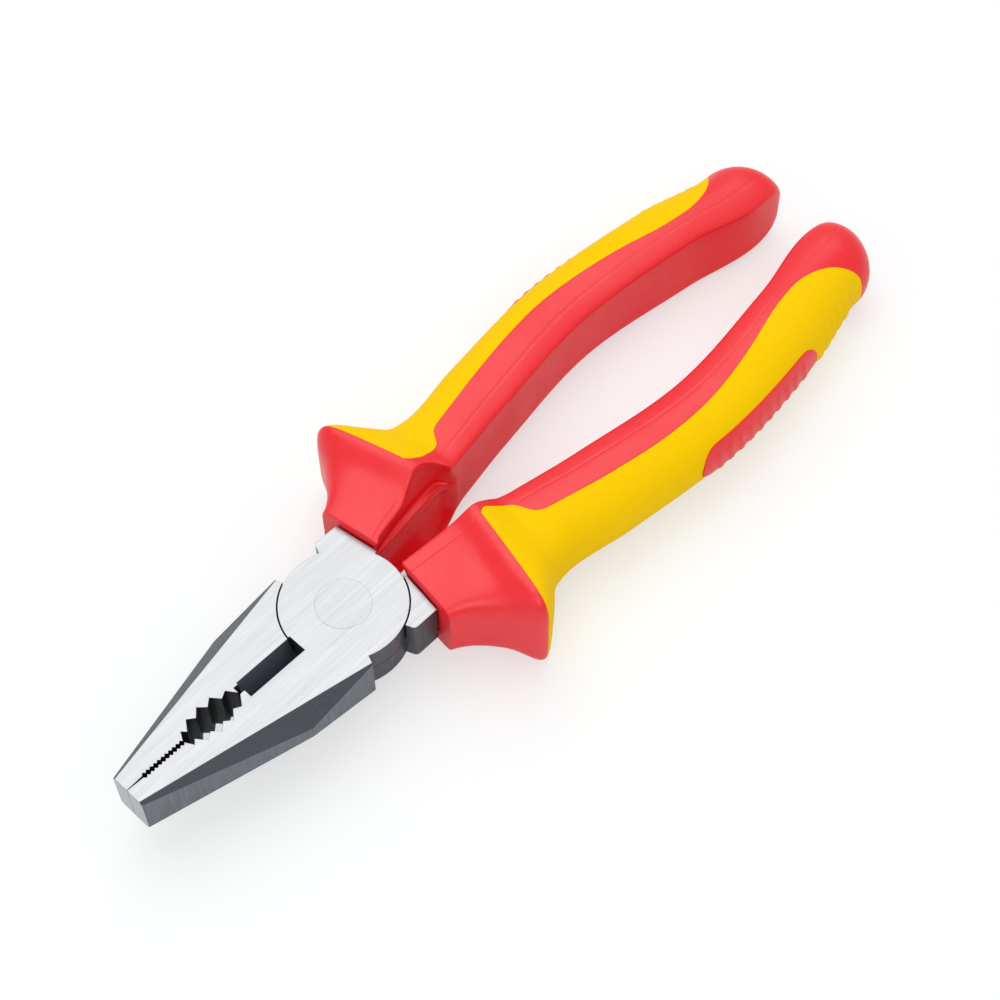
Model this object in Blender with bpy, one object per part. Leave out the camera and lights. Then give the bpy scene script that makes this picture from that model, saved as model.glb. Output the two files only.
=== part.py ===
"""Lineman pliers, 180 mm long: two forged halves on a lap joint and a flush rivet, each
handle inside a hard red grip sleeve that carries a soft yellow cover.

The frame is in metres. The origin lies on the pivot axis, on the head's lower face. +X runs
to the nose, +Y to the side of the upper half's jaw, and +Z up. The two halves are one
forging: the lower half is the upper half turned over about the long axis.
"""

import math

import bmesh
import bpy
import numpy as np
from mathutils import Matrix, Vector

MM = 0.001

# Running clearances
JAW_GAP = 0.30 * MM
LAP_GAP = 0.30 * MM
SEAT_GAP = 0.30 * MM
RIVET_GAP = 0.15 * MM

# Head
HEAD_THICKNESS = 9.4 * MM
JOINT_RADIUS = 11.6 * MM
JAW_LENGTH = 49.8 * MM
NOSE_HALF_WIDTH = 3.7 * MM
HIP_X = 19.7 * MM
HIP_HALF_WIDTH = 12.6 * MM
SHOULDER_RADIUS = 13.45 * MM
SHOULDER_ANGLE = math.radians(68.2)
NOSE_CHAMFER = 0.6 * MM
SHOULDER_CHAMFER = 0.3 * MM

# Teeth and cutter
FLAT_NOSE = 3.5 * MM
FINE_PITCH = 0.82 * MM
FINE_TEETH = 11
COARSE_PITCH = 2.75 * MM
COARSE_TEETH = 5
PIPE_HOLE_DEPTH = 3.15 * MM
LAND_LENGTH = 1.0 * MM
LAND_RELIEF = 1.5 * MM
CUTTER_HALF_WIDTH = 1.9 * MM
CUTTER_EDGE = 0.3 * MM

# Rivet
RIVET_RADIUS = 3.0 * MM
RIVET_HEAD_RADIUS = 5.1 * MM
RIVET_HEAD_DEPTH = 1.2 * MM

# Lug and tang of each handle, as distances behind the pivot and off the long axis
LUG_ANGLE = math.radians(111.5)
LUG_INNER = 3.6 * MM
LUG_OUTER = 12.8 * MM
LUG_END_INNER = 11.7 * MM
LUG_END_OUTER = 10.4 * MM
LUG_CORNER = 1.0 * MM
TANG_REACH = 112.0 * MM
TANG_ROOT_CENTRE = 9.7 * MM
TANG_RIM_CENTRE = 13.5 * MM
TANG_ROOT_HALF_WIDTH = 2.5 * MM
TANG_TIP_HALF_WIDTH = 2.1 * MM
TANG_ROOT_HALF_HEIGHT = 3.7 * MM
TANG_TIP_HALF_HEIGHT = 2.4 * MM

# Grip, as distances behind the pivot, off the long axis, and either side of the mid-plane
GRIP_RIM = 24.6 * MM
GRIP_NECK = 36.0 * MM
GRIP_PALM = 77.0 * MM
GRIP_HEEL = 104.0 * MM
GRIP_CAP = 121.4 * MM
GRIP_END = 130.6 * MM
MOUTH_INNER = 2.4 * MM
MOUTH_OUTER = 16.4 * MM
MOUTH_WALL = 1.6 * MM
RIM_INNER = 4.3 * MM
RIM_OUTER = 29.1 * MM
RIM_HALF_HEIGHT = 10.6 * MM
RIM_LEAN = 6.6 * MM
NECK_INNER = 6.5 * MM
NECK_OUTER = 21.6 * MM
NECK_HALF_HEIGHT = 8.0 * MM
PALM_INNER = 11.6 * MM
PALM_OUTER = 26.6 * MM
PALM_HALF_HEIGHT = 7.7 * MM
HEEL_INNER = 9.0 * MM
HEEL_OUTER = 24.0 * MM
HEEL_HALF_HEIGHT = 8.5 * MM
CAP_INNER = 5.6 * MM
CAP_OUTER = 20.6 * MM
CAP_HALF_HEIGHT = 7.9 * MM
TAIL_POWER = 3.0
TAIL_INNER_POWER = 4.5
TAIL_OUTER_POWER = 2.0
TAIL_TIP_SHARE = 0.35

# Hollows on the guard's inner side, with a rib between them on the mid-plane. The one on
# the open face runs out over the guard's edge, the other stops at a lip.
RIB_START = 6.0 * MM
RIB_END = 7.7 * MM
RIB_HALF_THICKNESS = 0.5 * MM
OPEN_EDGE_START = 4.3 * MM
OPEN_EDGE_RIM = 8.4 * MM
HOLLOW_DEPTH = 2.0 * MM
LIP_HEIGHT_SHARE = 0.45

# Cover and badge
COVER_DEPTH = 1.6 * MM
COVER_START = 26.1 * MM
COVER_END = 121.6 * MM
BADGE_START = 67.0 * MM
BADGE_END = 103.0 * MM
BADGE_HALF_HEIGHT = 4.4 * MM
BADGE_OPEN_HALF_HEIGHT = 3.1 * MM
BADGE_RISE = 0.3 * MM
RIPPLE_START = 104.2 * MM
RIPPLE_PITCH = 2.7 * MM
RIPPLES = 5
RIPPLE_RISE = 0.4 * MM
RIPPLE_HALF_HEIGHT = 5.6 * MM

# Facets
ARC_STEP = math.radians(6)
RIVET_SIDES = 48

MID_Z = HEAD_THICKNESS / 2


def clear_scene():
    for obj in list(bpy.data.objects):
        bpy.data.objects.remove(obj, do_unlink=True)


def make_material(name, colour, roughness, metallic):
    material = bpy.data.materials.new(name)
    material.use_nodes = True
    shader = material.node_tree.nodes["Principled BSDF"]
    shader.inputs["Base Color"].default_value = (*colour, 1.0)
    shader.inputs["Roughness"].default_value = roughness
    shader.inputs["Metallic"].default_value = metallic
    return material


def add_object(name, points, faces, material=None):
    """A mesh object whose faces all point out."""
    mesh = bpy.data.meshes.new(name)
    mesh.from_pydata([tuple(point) for point in points], [], faces)
    shell = bmesh.new()
    shell.from_mesh(mesh)
    bmesh.ops.recalc_face_normals(shell, faces=shell.faces)
    shell.to_mesh(mesh)
    shell.free()
    obj = bpy.data.objects.new(name, mesh)
    bpy.context.scene.collection.objects.link(obj)
    if material:
        mesh.materials.append(material)
    return obj


def add_prism(name, outline, low, high, material=None):
    """A plan outline extruded from one height to another."""
    count = len(outline)
    points = [(x, y, low) for x, y in outline] + [(x, y, high) for x, y in outline]
    faces = [list(range(count))[::-1], list(range(count, 2 * count))]
    faces += [(i, (i + 1) % count, count + (i + 1) % count, count + i) for i in range(count)]
    return add_object(name, points, faces, material)


def add_turned(name, profile, sides, material=None):
    """A solid of revolution about the pivot axis, from (radius, height) points."""
    angles = [2 * math.pi * i / sides for i in range(sides)]
    points = [(r * math.cos(a), r * math.sin(a), z) for r, z in profile for a in angles]
    faces = [list(range(sides))[::-1], list(range(len(points) - sides, len(points)))]
    for ring in range(len(profile) - 1):
        for i in range(sides):
            j = (i + 1) % sides
            low, high = ring * sides, (ring + 1) * sides
            faces.append((low + i, low + j, high + j, high + i))
    return add_object(name, points, faces, material)


def combine(obj, tool, operation):
    """Adds or cuts another solid, which stays in the file as a hidden wire."""
    tool.hide_render = True
    tool.display_type = "WIRE"
    modifier = obj.modifiers.new(operation.title() + " " + tool.name, "BOOLEAN")
    modifier.operation = operation
    modifier.object = tool
    modifier.solver = "EXACT"


def trim(obj, point, normal):
    """Cuts off what lies beyond a plane, and closes the cut."""
    shell = bmesh.new()
    shell.from_mesh(obj.data)
    geometry = shell.verts[:] + shell.edges[:] + shell.faces[:]
    cut = bmesh.ops.bisect_plane(
        shell, geom=geometry, plane_co=point, plane_no=normal, clear_outer=True
    )
    rim = [item for item in cut["geom_cut"] if isinstance(item, bmesh.types.BMEdge)]
    bmesh.ops.contextual_create(shell, geom=rim)
    bmesh.ops.recalc_face_normals(shell, faces=shell.faces)
    shell.to_mesh(obj.data)
    shell.free()


def arc(radius, start, end):
    steps = max(1, math.ceil(abs(end - start) / ARC_STEP))
    angles = [start + (end - start) * i / steps for i in range(steps + 1)]
    return [(radius * math.cos(angle), radius * math.sin(angle)) for angle in angles]


def polar(radius, angle):
    return (radius * math.cos(angle), radius * math.sin(angle))


# ---------------------------------------------------------------- head


def pipe_hole_ends():
    """Where the oval pipe hole starts and ends along the jaw, cutter side first."""
    nose_end = JAW_LENGTH - FLAT_NOSE - FINE_TEETH * FINE_PITCH
    return nose_end - (COARSE_TEETH - 0.4) * COARSE_PITCH, nose_end


def bite_outline():
    """The jaw's closing edge from the cutter to the nose: land, coarse teeth in an oval,
    fine teeth, and the flat nose."""
    low, high = pipe_hole_ends()
    middle, reach = (low + high) / 2, (high - low) / 2
    tooth = COARSE_PITCH / 2
    points = [(low, JAW_GAP / 2)]
    for i in range(COARSE_TEETH):
        valley = min(low + (i + 0.5) * COARSE_PITCH, high - 0.32 * COARSE_PITCH)
        tip = low + (i + 1) * COARSE_PITCH
        bulge = math.sqrt(max(0.0, 1 - ((valley - middle) / reach) ** 2))
        points.append((valley, JAW_GAP / 2 + PIPE_HOLE_DEPTH * bulge))
        if i < COARSE_TEETH - 1:
            bulge = math.sqrt(max(0.0, 1 - ((tip - middle) / reach) ** 2))
            points.append((tip, JAW_GAP / 2 + max(0.3 * tooth, PIPE_HOLE_DEPTH * bulge - tooth)))
    for i in range(FINE_TEETH):
        root = high + i * FINE_PITCH
        points.append((root, JAW_GAP / 2))
        points.append((root + FINE_PITCH / 2, JAW_GAP / 2 + FINE_PITCH / 2))
    points.append((JAW_LENGTH - FLAT_NOSE, JAW_GAP / 2))
    return points


def rounded_corner(before, corner, after, radius, steps=4):
    """Points round a corner of an outline, in place of its sharp point."""
    corner = Vector(corner)
    first = (Vector(before) - corner).normalized()
    last = (Vector(after) - corner).normalized()
    half = first.angle(last) / 2
    reach = radius / math.tan(half)
    centre = corner + (first + last).normalized() * (radius / math.sin(half))
    start, end = corner + first * reach - centre, corner + last * reach - centre
    turn = start.angle_signed(end)
    return [tuple(centre + Matrix.Rotation(-turn * i / steps, 2) @ start) for i in range(steps + 1)]


def half_outline():
    """The plan of the upper half without its tang, anticlockwise from the nose."""
    lug_start = math.atan2(LUG_INNER, LUG_END_INNER)
    closing_angle = math.asin(JAW_GAP / 2 / JOINT_RADIUS)
    outline = [(JAW_LENGTH, JAW_GAP / 2), (JAW_LENGTH, NOSE_HALF_WIDTH)]
    outline += [(HIP_X, HIP_HALF_WIDTH), polar(SHOULDER_RADIUS, SHOULDER_ANGLE)]
    outline += arc(JOINT_RADIUS, SHOULDER_ANGLE, math.pi + lug_start)
    back_inner, back_outer = (-LUG_END_INNER, -LUG_INNER), (-LUG_END_OUTER, -LUG_OUTER)
    front = (LUG_OUTER / math.tan(LUG_ANGLE), -LUG_OUTER)
    outline += [back_inner, back_outer]
    outline += rounded_corner(back_outer, front, polar(JOINT_RADIUS, -LUG_ANGLE), LUG_CORNER)
    outline += arc(JOINT_RADIUS, -LUG_ANGLE, closing_angle)
    return outline + bite_outline()


def chamfer_planes():
    """Points and normals of the bevels on the jaw's outer side, upper one first."""
    shoulder_x, shoulder_y = polar(SHOULDER_RADIUS, SHOULDER_ANGLE)
    along = np.array(
        [
            JAW_LENGTH - shoulder_x,
            NOSE_HALF_WIDTH - shoulder_y,
            SHOULDER_CHAMFER - NOSE_CHAMFER,
        ]
    )
    normal = np.cross((0.0, 0.0, 1.0), along)
    normal = normal / np.linalg.norm(normal)
    upper = np.array((normal[0], normal[1], 1.0))
    upper -= along * upper.dot(along) / along.dot(along)
    lower = upper * (1, 1, -1)
    point = (JAW_LENGTH, NOSE_HALF_WIDTH, HEAD_THICKNESS - NOSE_CHAMFER)
    return [(point, upper), ((JAW_LENGTH, NOSE_HALF_WIDTH, NOSE_CHAMFER), lower)]


def cutter_wedge(name, top):
    """The bevel beside the cutting edge, from the head's face down to the edge."""
    start = JOINT_RADIUS - 0.1 * MM
    end = pipe_hole_ends()[0] - LAND_LENGTH
    face = HEAD_THICKNESS if top else 0.0
    away = 1 if top else -1
    over = 1.0 * MM
    slope = (CUTTER_HALF_WIDTH - JAW_GAP / 2) / (MID_Z - CUTTER_EDGE / 2)
    edge = (JAW_GAP / 2 - 0.02 * MM, MID_Z + away * CUTTER_EDGE / 2)
    section = [edge, (CUTTER_HALF_WIDTH + slope * over, face + away * over)]
    section.append((-over, face + away * over))
    section.append((-over, MID_Z + away * CUTTER_EDGE / 2))
    points = [(x, y, z) for x in (start, end) for y, z in section]
    faces = [(3, 2, 1, 0), (4, 5, 6, 7)]
    faces += [(i, (i + 1) % 4, 4 + (i + 1) % 4, 4 + i) for i in range(4)]
    return add_object(name, points, faces)


def rivet_profile(clearance):
    """Radius and height along the flush rivet, with a countersunk head at each face."""
    shank = RIVET_RADIUS + clearance
    head = RIVET_HEAD_RADIUS + clearance
    neck = RIVET_HEAD_DEPTH
    over = 0.5 * MM if clearance else 0.0
    profile = [(head, -over), (head, 0.0), (shank, neck)]
    profile += [(shank, HEAD_THICKNESS - neck), (head, HEAD_THICKNESS)]
    profile.append((head, HEAD_THICKNESS + over))
    return profile if clearance else profile[1:-1]


# ---------------------------------------------------------------- grip


def between(a, b, share):
    return a + (b - a) * share


def smooth(at, places, values):
    """A curve through the given values that never overshoots between them."""
    if at <= places[0]:
        return values[0]
    if at >= places[-1]:
        return values[-1]
    spans = [b - a for a, b in zip(places, places[1:])]
    steps = [(b - a) / span for a, b, span in zip(values, values[1:], spans)]
    slopes = [0.0] * len(values)
    for i in range(1, len(steps)):
        if steps[i - 1] * steps[i] > 0:
            slopes[i] = 2 * steps[i - 1] * steps[i] / (steps[i - 1] + steps[i])
    i = max(k for k, place in enumerate(places[:-1]) if place <= at)
    t = (at - places[i]) / spans[i]
    rise = values[i] + (values[i + 1] - values[i]) * t * t * (3 - 2 * t)
    bend = slopes[i] * t * (1 - t) ** 2 - slopes[i + 1] * t * t * (1 - t)
    return rise + spans[i] * bend


# The mouth's front face lies parallel to the back of the lug, a seat gap behind it.
MOUTH_SLOPE = (LUG_END_INNER - LUG_END_OUTER) / (LUG_OUTER - LUG_INNER)
MOUTH_MIDDLE = (MOUTH_INNER + MOUTH_OUTER) / 2
GRIP_MOUTH = LUG_END_INNER + SEAT_GAP - MOUTH_SLOPE * (MOUTH_MIDDLE - LUG_INNER)
MOUTH_LEAN = MOUTH_SLOPE * (MOUTH_OUTER - MOUTH_INNER)
MOUTH_HALF_HEIGHT = MID_Z + MOUTH_WALL

# The guard grows from the mouth to the rim, and falls to the neck behind it.
FLARE = between(GRIP_MOUTH, GRIP_RIM, 0.22)
BROW = between(GRIP_MOUTH, GRIP_RIM, 0.55)
CREST = between(GRIP_MOUTH, GRIP_RIM, 0.86)
FALL = between(GRIP_RIM, GRIP_NECK, 0.4)
SETTLE = between(GRIP_RIM, GRIP_NECK, 0.72)
WRIST = between(GRIP_NECK, GRIP_PALM, 0.35)

PLACES = [GRIP_MOUTH, FLARE, BROW, CREST, GRIP_RIM, FALL, SETTLE]
PLACES += [GRIP_NECK, WRIST, GRIP_PALM, GRIP_HEEL, GRIP_CAP]


def guard_column(mouth, rim, neck, rising, falling):
    """Values from mouth to neck, from the shares of the rise and the fall on the way."""
    up = [between(mouth, rim, share) for share in (0.0, *rising, 1.0)]
    return up + [between(rim, neck, share) for share in (*falling, 1.0)]


INNER = guard_column(MOUTH_INNER, RIM_INNER, NECK_INNER, (0.2, 0.5, 0.85), (0.32, 0.65))
INNER += [between(NECK_INNER, PALM_INNER, 0.5), PALM_INNER, HEEL_INNER, CAP_INNER]
OUTER = guard_column(MOUTH_OUTER, RIM_OUTER, NECK_OUTER, (0.05, 0.34, 0.87), (0.48, 0.96))
OUTER += [between(NECK_OUTER, PALM_OUTER, 0.48), PALM_OUTER, HEEL_OUTER, CAP_OUTER]
HEIGHT = guard_column(
    MOUTH_HALF_HEIGHT, RIM_HALF_HEIGHT, NECK_HALF_HEIGHT, (0.06, 0.32, 0.82), (0.55, 0.85)
)
HEIGHT += [between(NECK_HALF_HEIGHT, PALM_HALF_HEIGHT, 0.9)]
HEIGHT += [PALM_HALF_HEIGHT, HEEL_HALF_HEIGHT, CAP_HALF_HEIGHT]
LEAN = guard_column(MOUTH_LEAN, RIM_LEAN, 0.0, (0.3, 0.7, 0.95), (0.3, 0.7)) + [0.0] * 4
# How square the outer side is (2 is an ellipse), and how high the inner crease lies
SQUARE = guard_column(7.0, 8.0, 2.4, (0.2, 0.5, 0.9), (0.5, 0.8)) + [2.2, 2.1, 2.1, 2.1]
CREASE = guard_column(0.97, 0.94, 0.87, (0.3, 0.6, 0.9), (0.3, 0.7)) + [0.85, 0.82, 0.84, 0.82]


def shrink(turn, power):
    """What is left of a size part of the way round the grip's rounded end."""
    return (1 - turn ** power) ** (1 / power)


def shape_at(place):
    """Inner and outer side, half height, lean, squareness and crease of a section. Past
    the cap's start they shrink along a rounded curve to the grip's end."""
    columns = (INNER, OUTER, HEIGHT, LEAN, SQUARE, CREASE)
    inner, outer, height, lean, power, crease = (
        smooth(place, PLACES, column) for column in columns
    )
    if place > GRIP_CAP:
        turn = min(1.0, (place - GRIP_CAP) / (GRIP_END - GRIP_CAP))
        tip = between(inner, outer, TAIL_TIP_SHARE)
        inner = between(tip, inner, shrink(turn, TAIL_INNER_POWER))
        outer = between(tip, outer, shrink(turn, TAIL_OUTER_POWER))
        height *= shrink(turn, TAIL_POWER)
        crease = between(0.5, crease, shrink(turn, TAIL_POWER))
    return inner, outer, height, lean, power, crease


HOLLOW_PLACES = [GRIP_MOUTH, BROW, CREST, GRIP_RIM, FALL, SETTLE]


def hollow_at(place, is_open):
    """The rib's and the edge's distance off the axis, the depth, and how far they show."""
    inner, *_ = shape_at(place)
    rib = between(RIB_START, RIB_END, min(1.0, (place - GRIP_MOUTH) / (SETTLE - GRIP_MOUTH)))
    depth = HOLLOW_DEPTH * smooth(place, HOLLOW_PLACES, [0.2, 0.6, 0.9, 1.0, 1.0, 0.0])
    share = smooth(place, [GRIP_RIM, FALL, SETTLE], [1.0, 0.9, 0.0])
    edge = inner
    if is_open:
        out = smooth(place, HOLLOW_PLACES, [0.0, 0.3, 0.86, 1.0, 0.5, 0.0])
        edge = between(OPEN_EDGE_START, OPEN_EDGE_RIM, out)
        edge = between(inner, edge, smooth(place, HOLLOW_PLACES, [1, 1, 1, 1, 0.4, 0]))
    return rib, edge, depth, share


CURVE_STEPS = 40


def section_curve(place, is_open):
    """Half of a section as fine points (off axis, away from the mid-plane) from the inner
    to the outer side, with the run along them and the crease's number."""
    inner, outer, height, _, power, crease = shape_at(place)
    middle = between(inner, outer, 0.46)
    rib, edge, depth, share = hollow_at(place, is_open)
    foot = between(inner, rib, share)
    low = min(RIB_HALF_THICKNESS, 0.3 * height)
    lip = between(1.0, LIP_HEIGHT_SHARE, share)
    if is_open:
        lip = smooth(place, [GRIP_RIM, FALL, SETTLE], [1.0, 0.8, 0.5])
    points = [(foot, 0.0)]
    for i in range(CURVE_STEPS + 1):
        t = i / CURVE_STEPS
        turn = min(1.0, t / lip)
        hollow = depth * math.sin(math.pi * turn ** 0.6)
        points.append((between(foot, edge, turn) + hollow, between(low, crease * height, t)))
    corner = len(points) - 1
    for i in range(1, CURVE_STEPS + 1):
        t = i / CURVE_STEPS
        points.append((between(edge, middle, t), height * (1 - (1 - crease) * (1 - t) ** 2.2)))
    for i in range(1, CURVE_STEPS + 1):
        angle = math.pi / 2 * (1 - i / CURVE_STEPS)
        side = max(0.0, math.cos(angle)) ** (2 / power)
        rise = max(0.0, math.sin(angle)) ** (2 / power)
        points.append((between(middle, outer, side), height * rise))
    points = np.array(points)
    run = np.concatenate([[0.0], np.cumsum(np.linalg.norm(np.diff(points, axis=0), axis=1))])
    return points, run, corner


# How far out the cover starts on the closed and the open broad face, along the grip
COVER_TABLE = (
    (COVER_START, 0.15, 0.32),
    (COVER_START + 0.9 * MM, 0.115, 0.245),
    (FALL, 0.18, 0.215),
    (SETTLE, 0.23, 0.235),
    (between(SETTLE, GRIP_NECK, 0.45), 0.32, 0.35),
    (GRIP_NECK, 0.45, 0.48),
    (between(GRIP_NECK, WRIST, 0.2), 0.52, 0.53),
    (WRIST, 0.58, 0.58),
    (between(WRIST, GRIP_PALM, 0.4), 0.57, 0.58),
    (GRIP_PALM, 0.49, 0.54),
    (between(GRIP_PALM, GRIP_HEEL, 0.5), 0.40, 0.475),
    (GRIP_HEEL, 0.305, 0.39),
    (between(GRIP_HEEL, COVER_END, 0.2), 0.315, 0.41),
    (between(GRIP_HEEL, COVER_END, 0.37), 0.365, 0.45),
    (between(GRIP_HEEL, COVER_END, 0.53), 0.45, 0.53),
    (between(GRIP_HEEL, COVER_END, 0.7), 0.57, 0.63),
    (between(GRIP_HEEL, COVER_END, 0.87), 0.74, 0.8),
    (COVER_END, 0.90, 0.92),
)
COVER_PLACES, COVER_SHARES, OPEN_COVER_SHARES = (list(column) for column in zip(*COVER_TABLE))


def cover_edge(place, is_open):
    """How far off the axis the cover starts on one of the grip's broad faces."""
    inner, outer, *_ = shape_at(place)
    shares = OPEN_COVER_SHARES if is_open else COVER_SHARES
    return between(inner, outer, smooth(place, COVER_PLACES, shares))


def badge_edge(place, is_open):
    """How far the badge reaches from the mid-plane on the grip's outer side: a stadium,
    blunt at its ends."""
    straight = (BADGE_END - BADGE_START) / 2 - BADGE_HALF_HEIGHT
    beyond = abs(place - (BADGE_START + BADGE_END) / 2) - straight
    turn = min(1.0, max(0.0, beyond / BADGE_HALF_HEIGHT))
    reach = BADGE_OPEN_HALF_HEIGHT if is_open else BADGE_HALF_HEIGHT
    return reach * max(0.35, math.sqrt(1 - turn * turn))


# Steps round half a section: rib, hollow, crown, cover and badge
SPANS = (1, 5, 2, 5, 2)
HALF_RING = sum(SPANS)
RING = 2 * HALF_RING
COVER_FIRST = sum(SPANS[:3])
BADGE_FIRST = sum(SPANS[:4])


def half_ring(place, is_open, gap):
    """Points of half a section, with lines along the crease and the edges of the cover
    and the badge. The last two lines are moved apart by the gap."""
    points, run, corner = section_curve(place, is_open)
    crest = corner + int(np.argmax(points[corner:, 1]))
    whole = run[-1]
    edge = np.interp(cover_edge(place, is_open), points[corner:, 0], run[corner:]) + gap
    badge = np.interp(-badge_edge(place, is_open), -points[crest:, 1], run[crest:]) - gap
    edge = min(max(edge, run[corner] + 0.02 * whole), 0.9 * whole)
    badge = min(max(badge, edge + 0.03 * whole), 0.97 * whole)
    stops = [0.0, run[1], run[corner], edge, badge, whole]
    spots = [0.0]
    for low, high, count in zip(stops, stops[1:], SPANS):
        spots += [between(low, high, (k + 1) / count) for k in range(count)]
    return np.stack([np.interp(spots, run, points[:, axis]) for axis in (0, 1)], axis=1)


def ripple(place, heights):
    """How far the cover's ripples stand out at a place, at heights off the mid-plane."""
    phase = (place - RIPPLE_START) / RIPPLE_PITCH
    wave = 0.5 - 0.5 * math.cos(2 * math.pi * phase) if 0 < phase < RIPPLES else 0.0
    return RIPPLE_RISE * wave * (np.abs(heights) < RIPPLE_HALF_HEIGHT)


def grip_ring(place, inset, gap=0.0, rippled=False):
    """One whole section in space, moved in by the inset, with its open half on top."""
    inner, outer, _, lean, _, _ = shape_at(place)
    over = half_ring(place, True, gap)
    under = half_ring(place, False, gap)
    flat = np.concatenate([over, under[-2:0:-1] * (1, -1)])
    if rippled:
        inset = inset + ripple(place, flat[:, 1])[:, None]
    if np.any(inset):
        tangent = np.roll(flat, -1, axis=0) - np.roll(flat, 1, axis=0)
        tangent /= np.linalg.norm(tangent, axis=1, keepdims=True)
        flat = flat + inset * np.stack([-tangent[:, 1], tangent[:, 0]], axis=1)
    width = max(outer - inner, 0.01 * MM)
    return [(-place + lean * ((y - inner) / width - 0.5), y, z) for y, z in flat]


def narrowed(ring, share):
    """A ring shrunk about its middle, for a bevel at its edge."""
    middle = np.mean(ring, axis=0)
    return [tuple(middle + (np.array(point) - middle) * share) for point in ring]


def grip_places(gap=0.0):
    """Where the sections lie from the cover's front to its end, and the numbers of the
    sections where the badge starts and ends."""
    start, end = COVER_START + gap, COVER_END - gap
    low, high = BADGE_START - gap, BADGE_END + gap
    ripples_end = RIPPLE_START + RIPPLES * RIPPLE_PITCH
    stops = [
        (start, FALL, 3),
        (FALL, SETTLE, 3),
        (SETTLE, GRIP_NECK, 3),
        (GRIP_NECK, WRIST, 3),
        (WRIST, low, 3),
        (low, low + BADGE_HALF_HEIGHT, 3),
        (low + BADGE_HALF_HEIGHT, high - BADGE_HALF_HEIGHT, 5),
        (high - BADGE_HALF_HEIGHT, high, 3),
        (high, RIPPLE_START, 1),
        (RIPPLE_START, ripples_end, 3 * RIPPLES),
        (ripples_end, end, 3),
    ]
    places = [start]
    for a, b, count in stops:
        places += [between(a, b, (i + 1) / count) for i in range(count)]
    counts = [count for _, _, count in stops]
    return places, sum(counts[:5]), sum(counts[:8])


class Shell:
    """Points and faces of a grip solid, with rings kept by name and section number. The
    side is -1 for the upper half's grip, and 1 for the lower half's, which is turned over."""

    def __init__(self, side):
        self.side = side
        self.points = []
        self.faces = []
        self.rings = {}

    def add_ring(self, key, ring):
        first = len(self.points)
        self.points += [(x, self.side * y, MID_Z - self.side * z) for x, y, z in ring]
        self.rings[key] = list(range(first, first + len(ring)))

    def quad(self, a, i, b, j, k):
        """The face between steps k and k + 1 of two rings."""
        low, high = self.rings[a, i], self.rings[b, j]
        n = (k + 1) % len(low)
        self.faces.append((low[k], low[n], high[n], high[k]))

    def rib(self, a, b, i, j, k):
        """A wall between two skins along step line k, from section i to section j."""
        first, second = self.rings[a, i], self.rings[a, j]
        third, fourth = self.rings[b, j], self.rings[b, i]
        self.faces.append((first[k], second[k], third[k], fourth[k]))

    def wall(self, a, b, i, k):
        """A wall between two skins along section i, from step k to step k + 1."""
        low, high = self.rings[a, i], self.rings[b, i]
        n = (k + 1) % len(low)
        self.faces.append((low[k], low[n], high[n], high[k]))


def in_cover(k):
    return COVER_FIRST <= k < RING - COVER_FIRST


def in_badge(k):
    return BADGE_FIRST <= k < RING - BADGE_FIRST


def build_sleeve(name, side, material):
    """The hard sleeve: guard, broad window sunk for the cover, badge and rounded tail."""
    places, badge_low, badge_high = grip_places()
    last = len(places) - 1
    front = [GRIP_MOUTH + 0.9 * MM, FLARE, between(FLARE, BROW, 0.5), BROW]
    front += [between(BROW, CREST, 0.5), CREST, GRIP_RIM]
    turns = [math.radians(angle) for angle in (14, 28, 42, 54, 65, 74, 81, 86)]
    tail = [between(GRIP_CAP, GRIP_END, math.sin(turn)) for turn in turns]
    shell = Shell(side)
    shell.add_ring(("front", 0), narrowed(grip_ring(GRIP_MOUTH, 0.0), 0.9))
    for i, place in enumerate(front):
        shell.add_ring(("front", i + 1), grip_ring(place, 0.0))
    for i, place in enumerate(places):
        shell.add_ring(("skin", i), grip_ring(place, 0.0))
        shell.add_ring(("floor", i), grip_ring(place, -COVER_DEPTH))
        shell.add_ring(("badge", i), grip_ring(place, BADGE_RISE))
    for i, place in enumerate(tail):
        shell.add_ring(("tail", i), grip_ring(place, 0.0))
    shell.faces.append(shell.rings["front", 0][::-1])
    shell.faces.append(shell.rings["tail", len(tail) - 1])
    for k in range(RING):
        for i in range(len(front)):
            shell.quad("front", i, "front", i + 1, k)
        shell.quad("front", len(front), "skin", 0, k)
        shell.quad("skin", last, "tail", 0, k)
        for i in range(len(tail) - 1):
            shell.quad("tail", i, "tail", i + 1, k)
        for i in range(last):
            raised = in_badge(k) and badge_low <= i < badge_high
            skin = "badge" if raised else "floor" if in_cover(k) else "skin"
            shell.quad(skin, i, skin, i + 1, k)
        if in_cover(k):
            shell.wall("skin", "floor", 0, k)
            shell.wall("skin", "floor", last, k)
        if in_badge(k):
            shell.wall("floor", "badge", badge_low, k)
            shell.wall("floor", "badge", badge_high, k)
    for i in range(last):
        for k in (COVER_FIRST, RING - COVER_FIRST):
            shell.rib("skin", "floor", i, i + 1, k)
        if badge_low <= i < badge_high:
            for k in (BADGE_FIRST, RING - BADGE_FIRST):
                shell.rib("floor", "badge", i, i + 1, k)
    return add_shell(name, shell, material)


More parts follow.
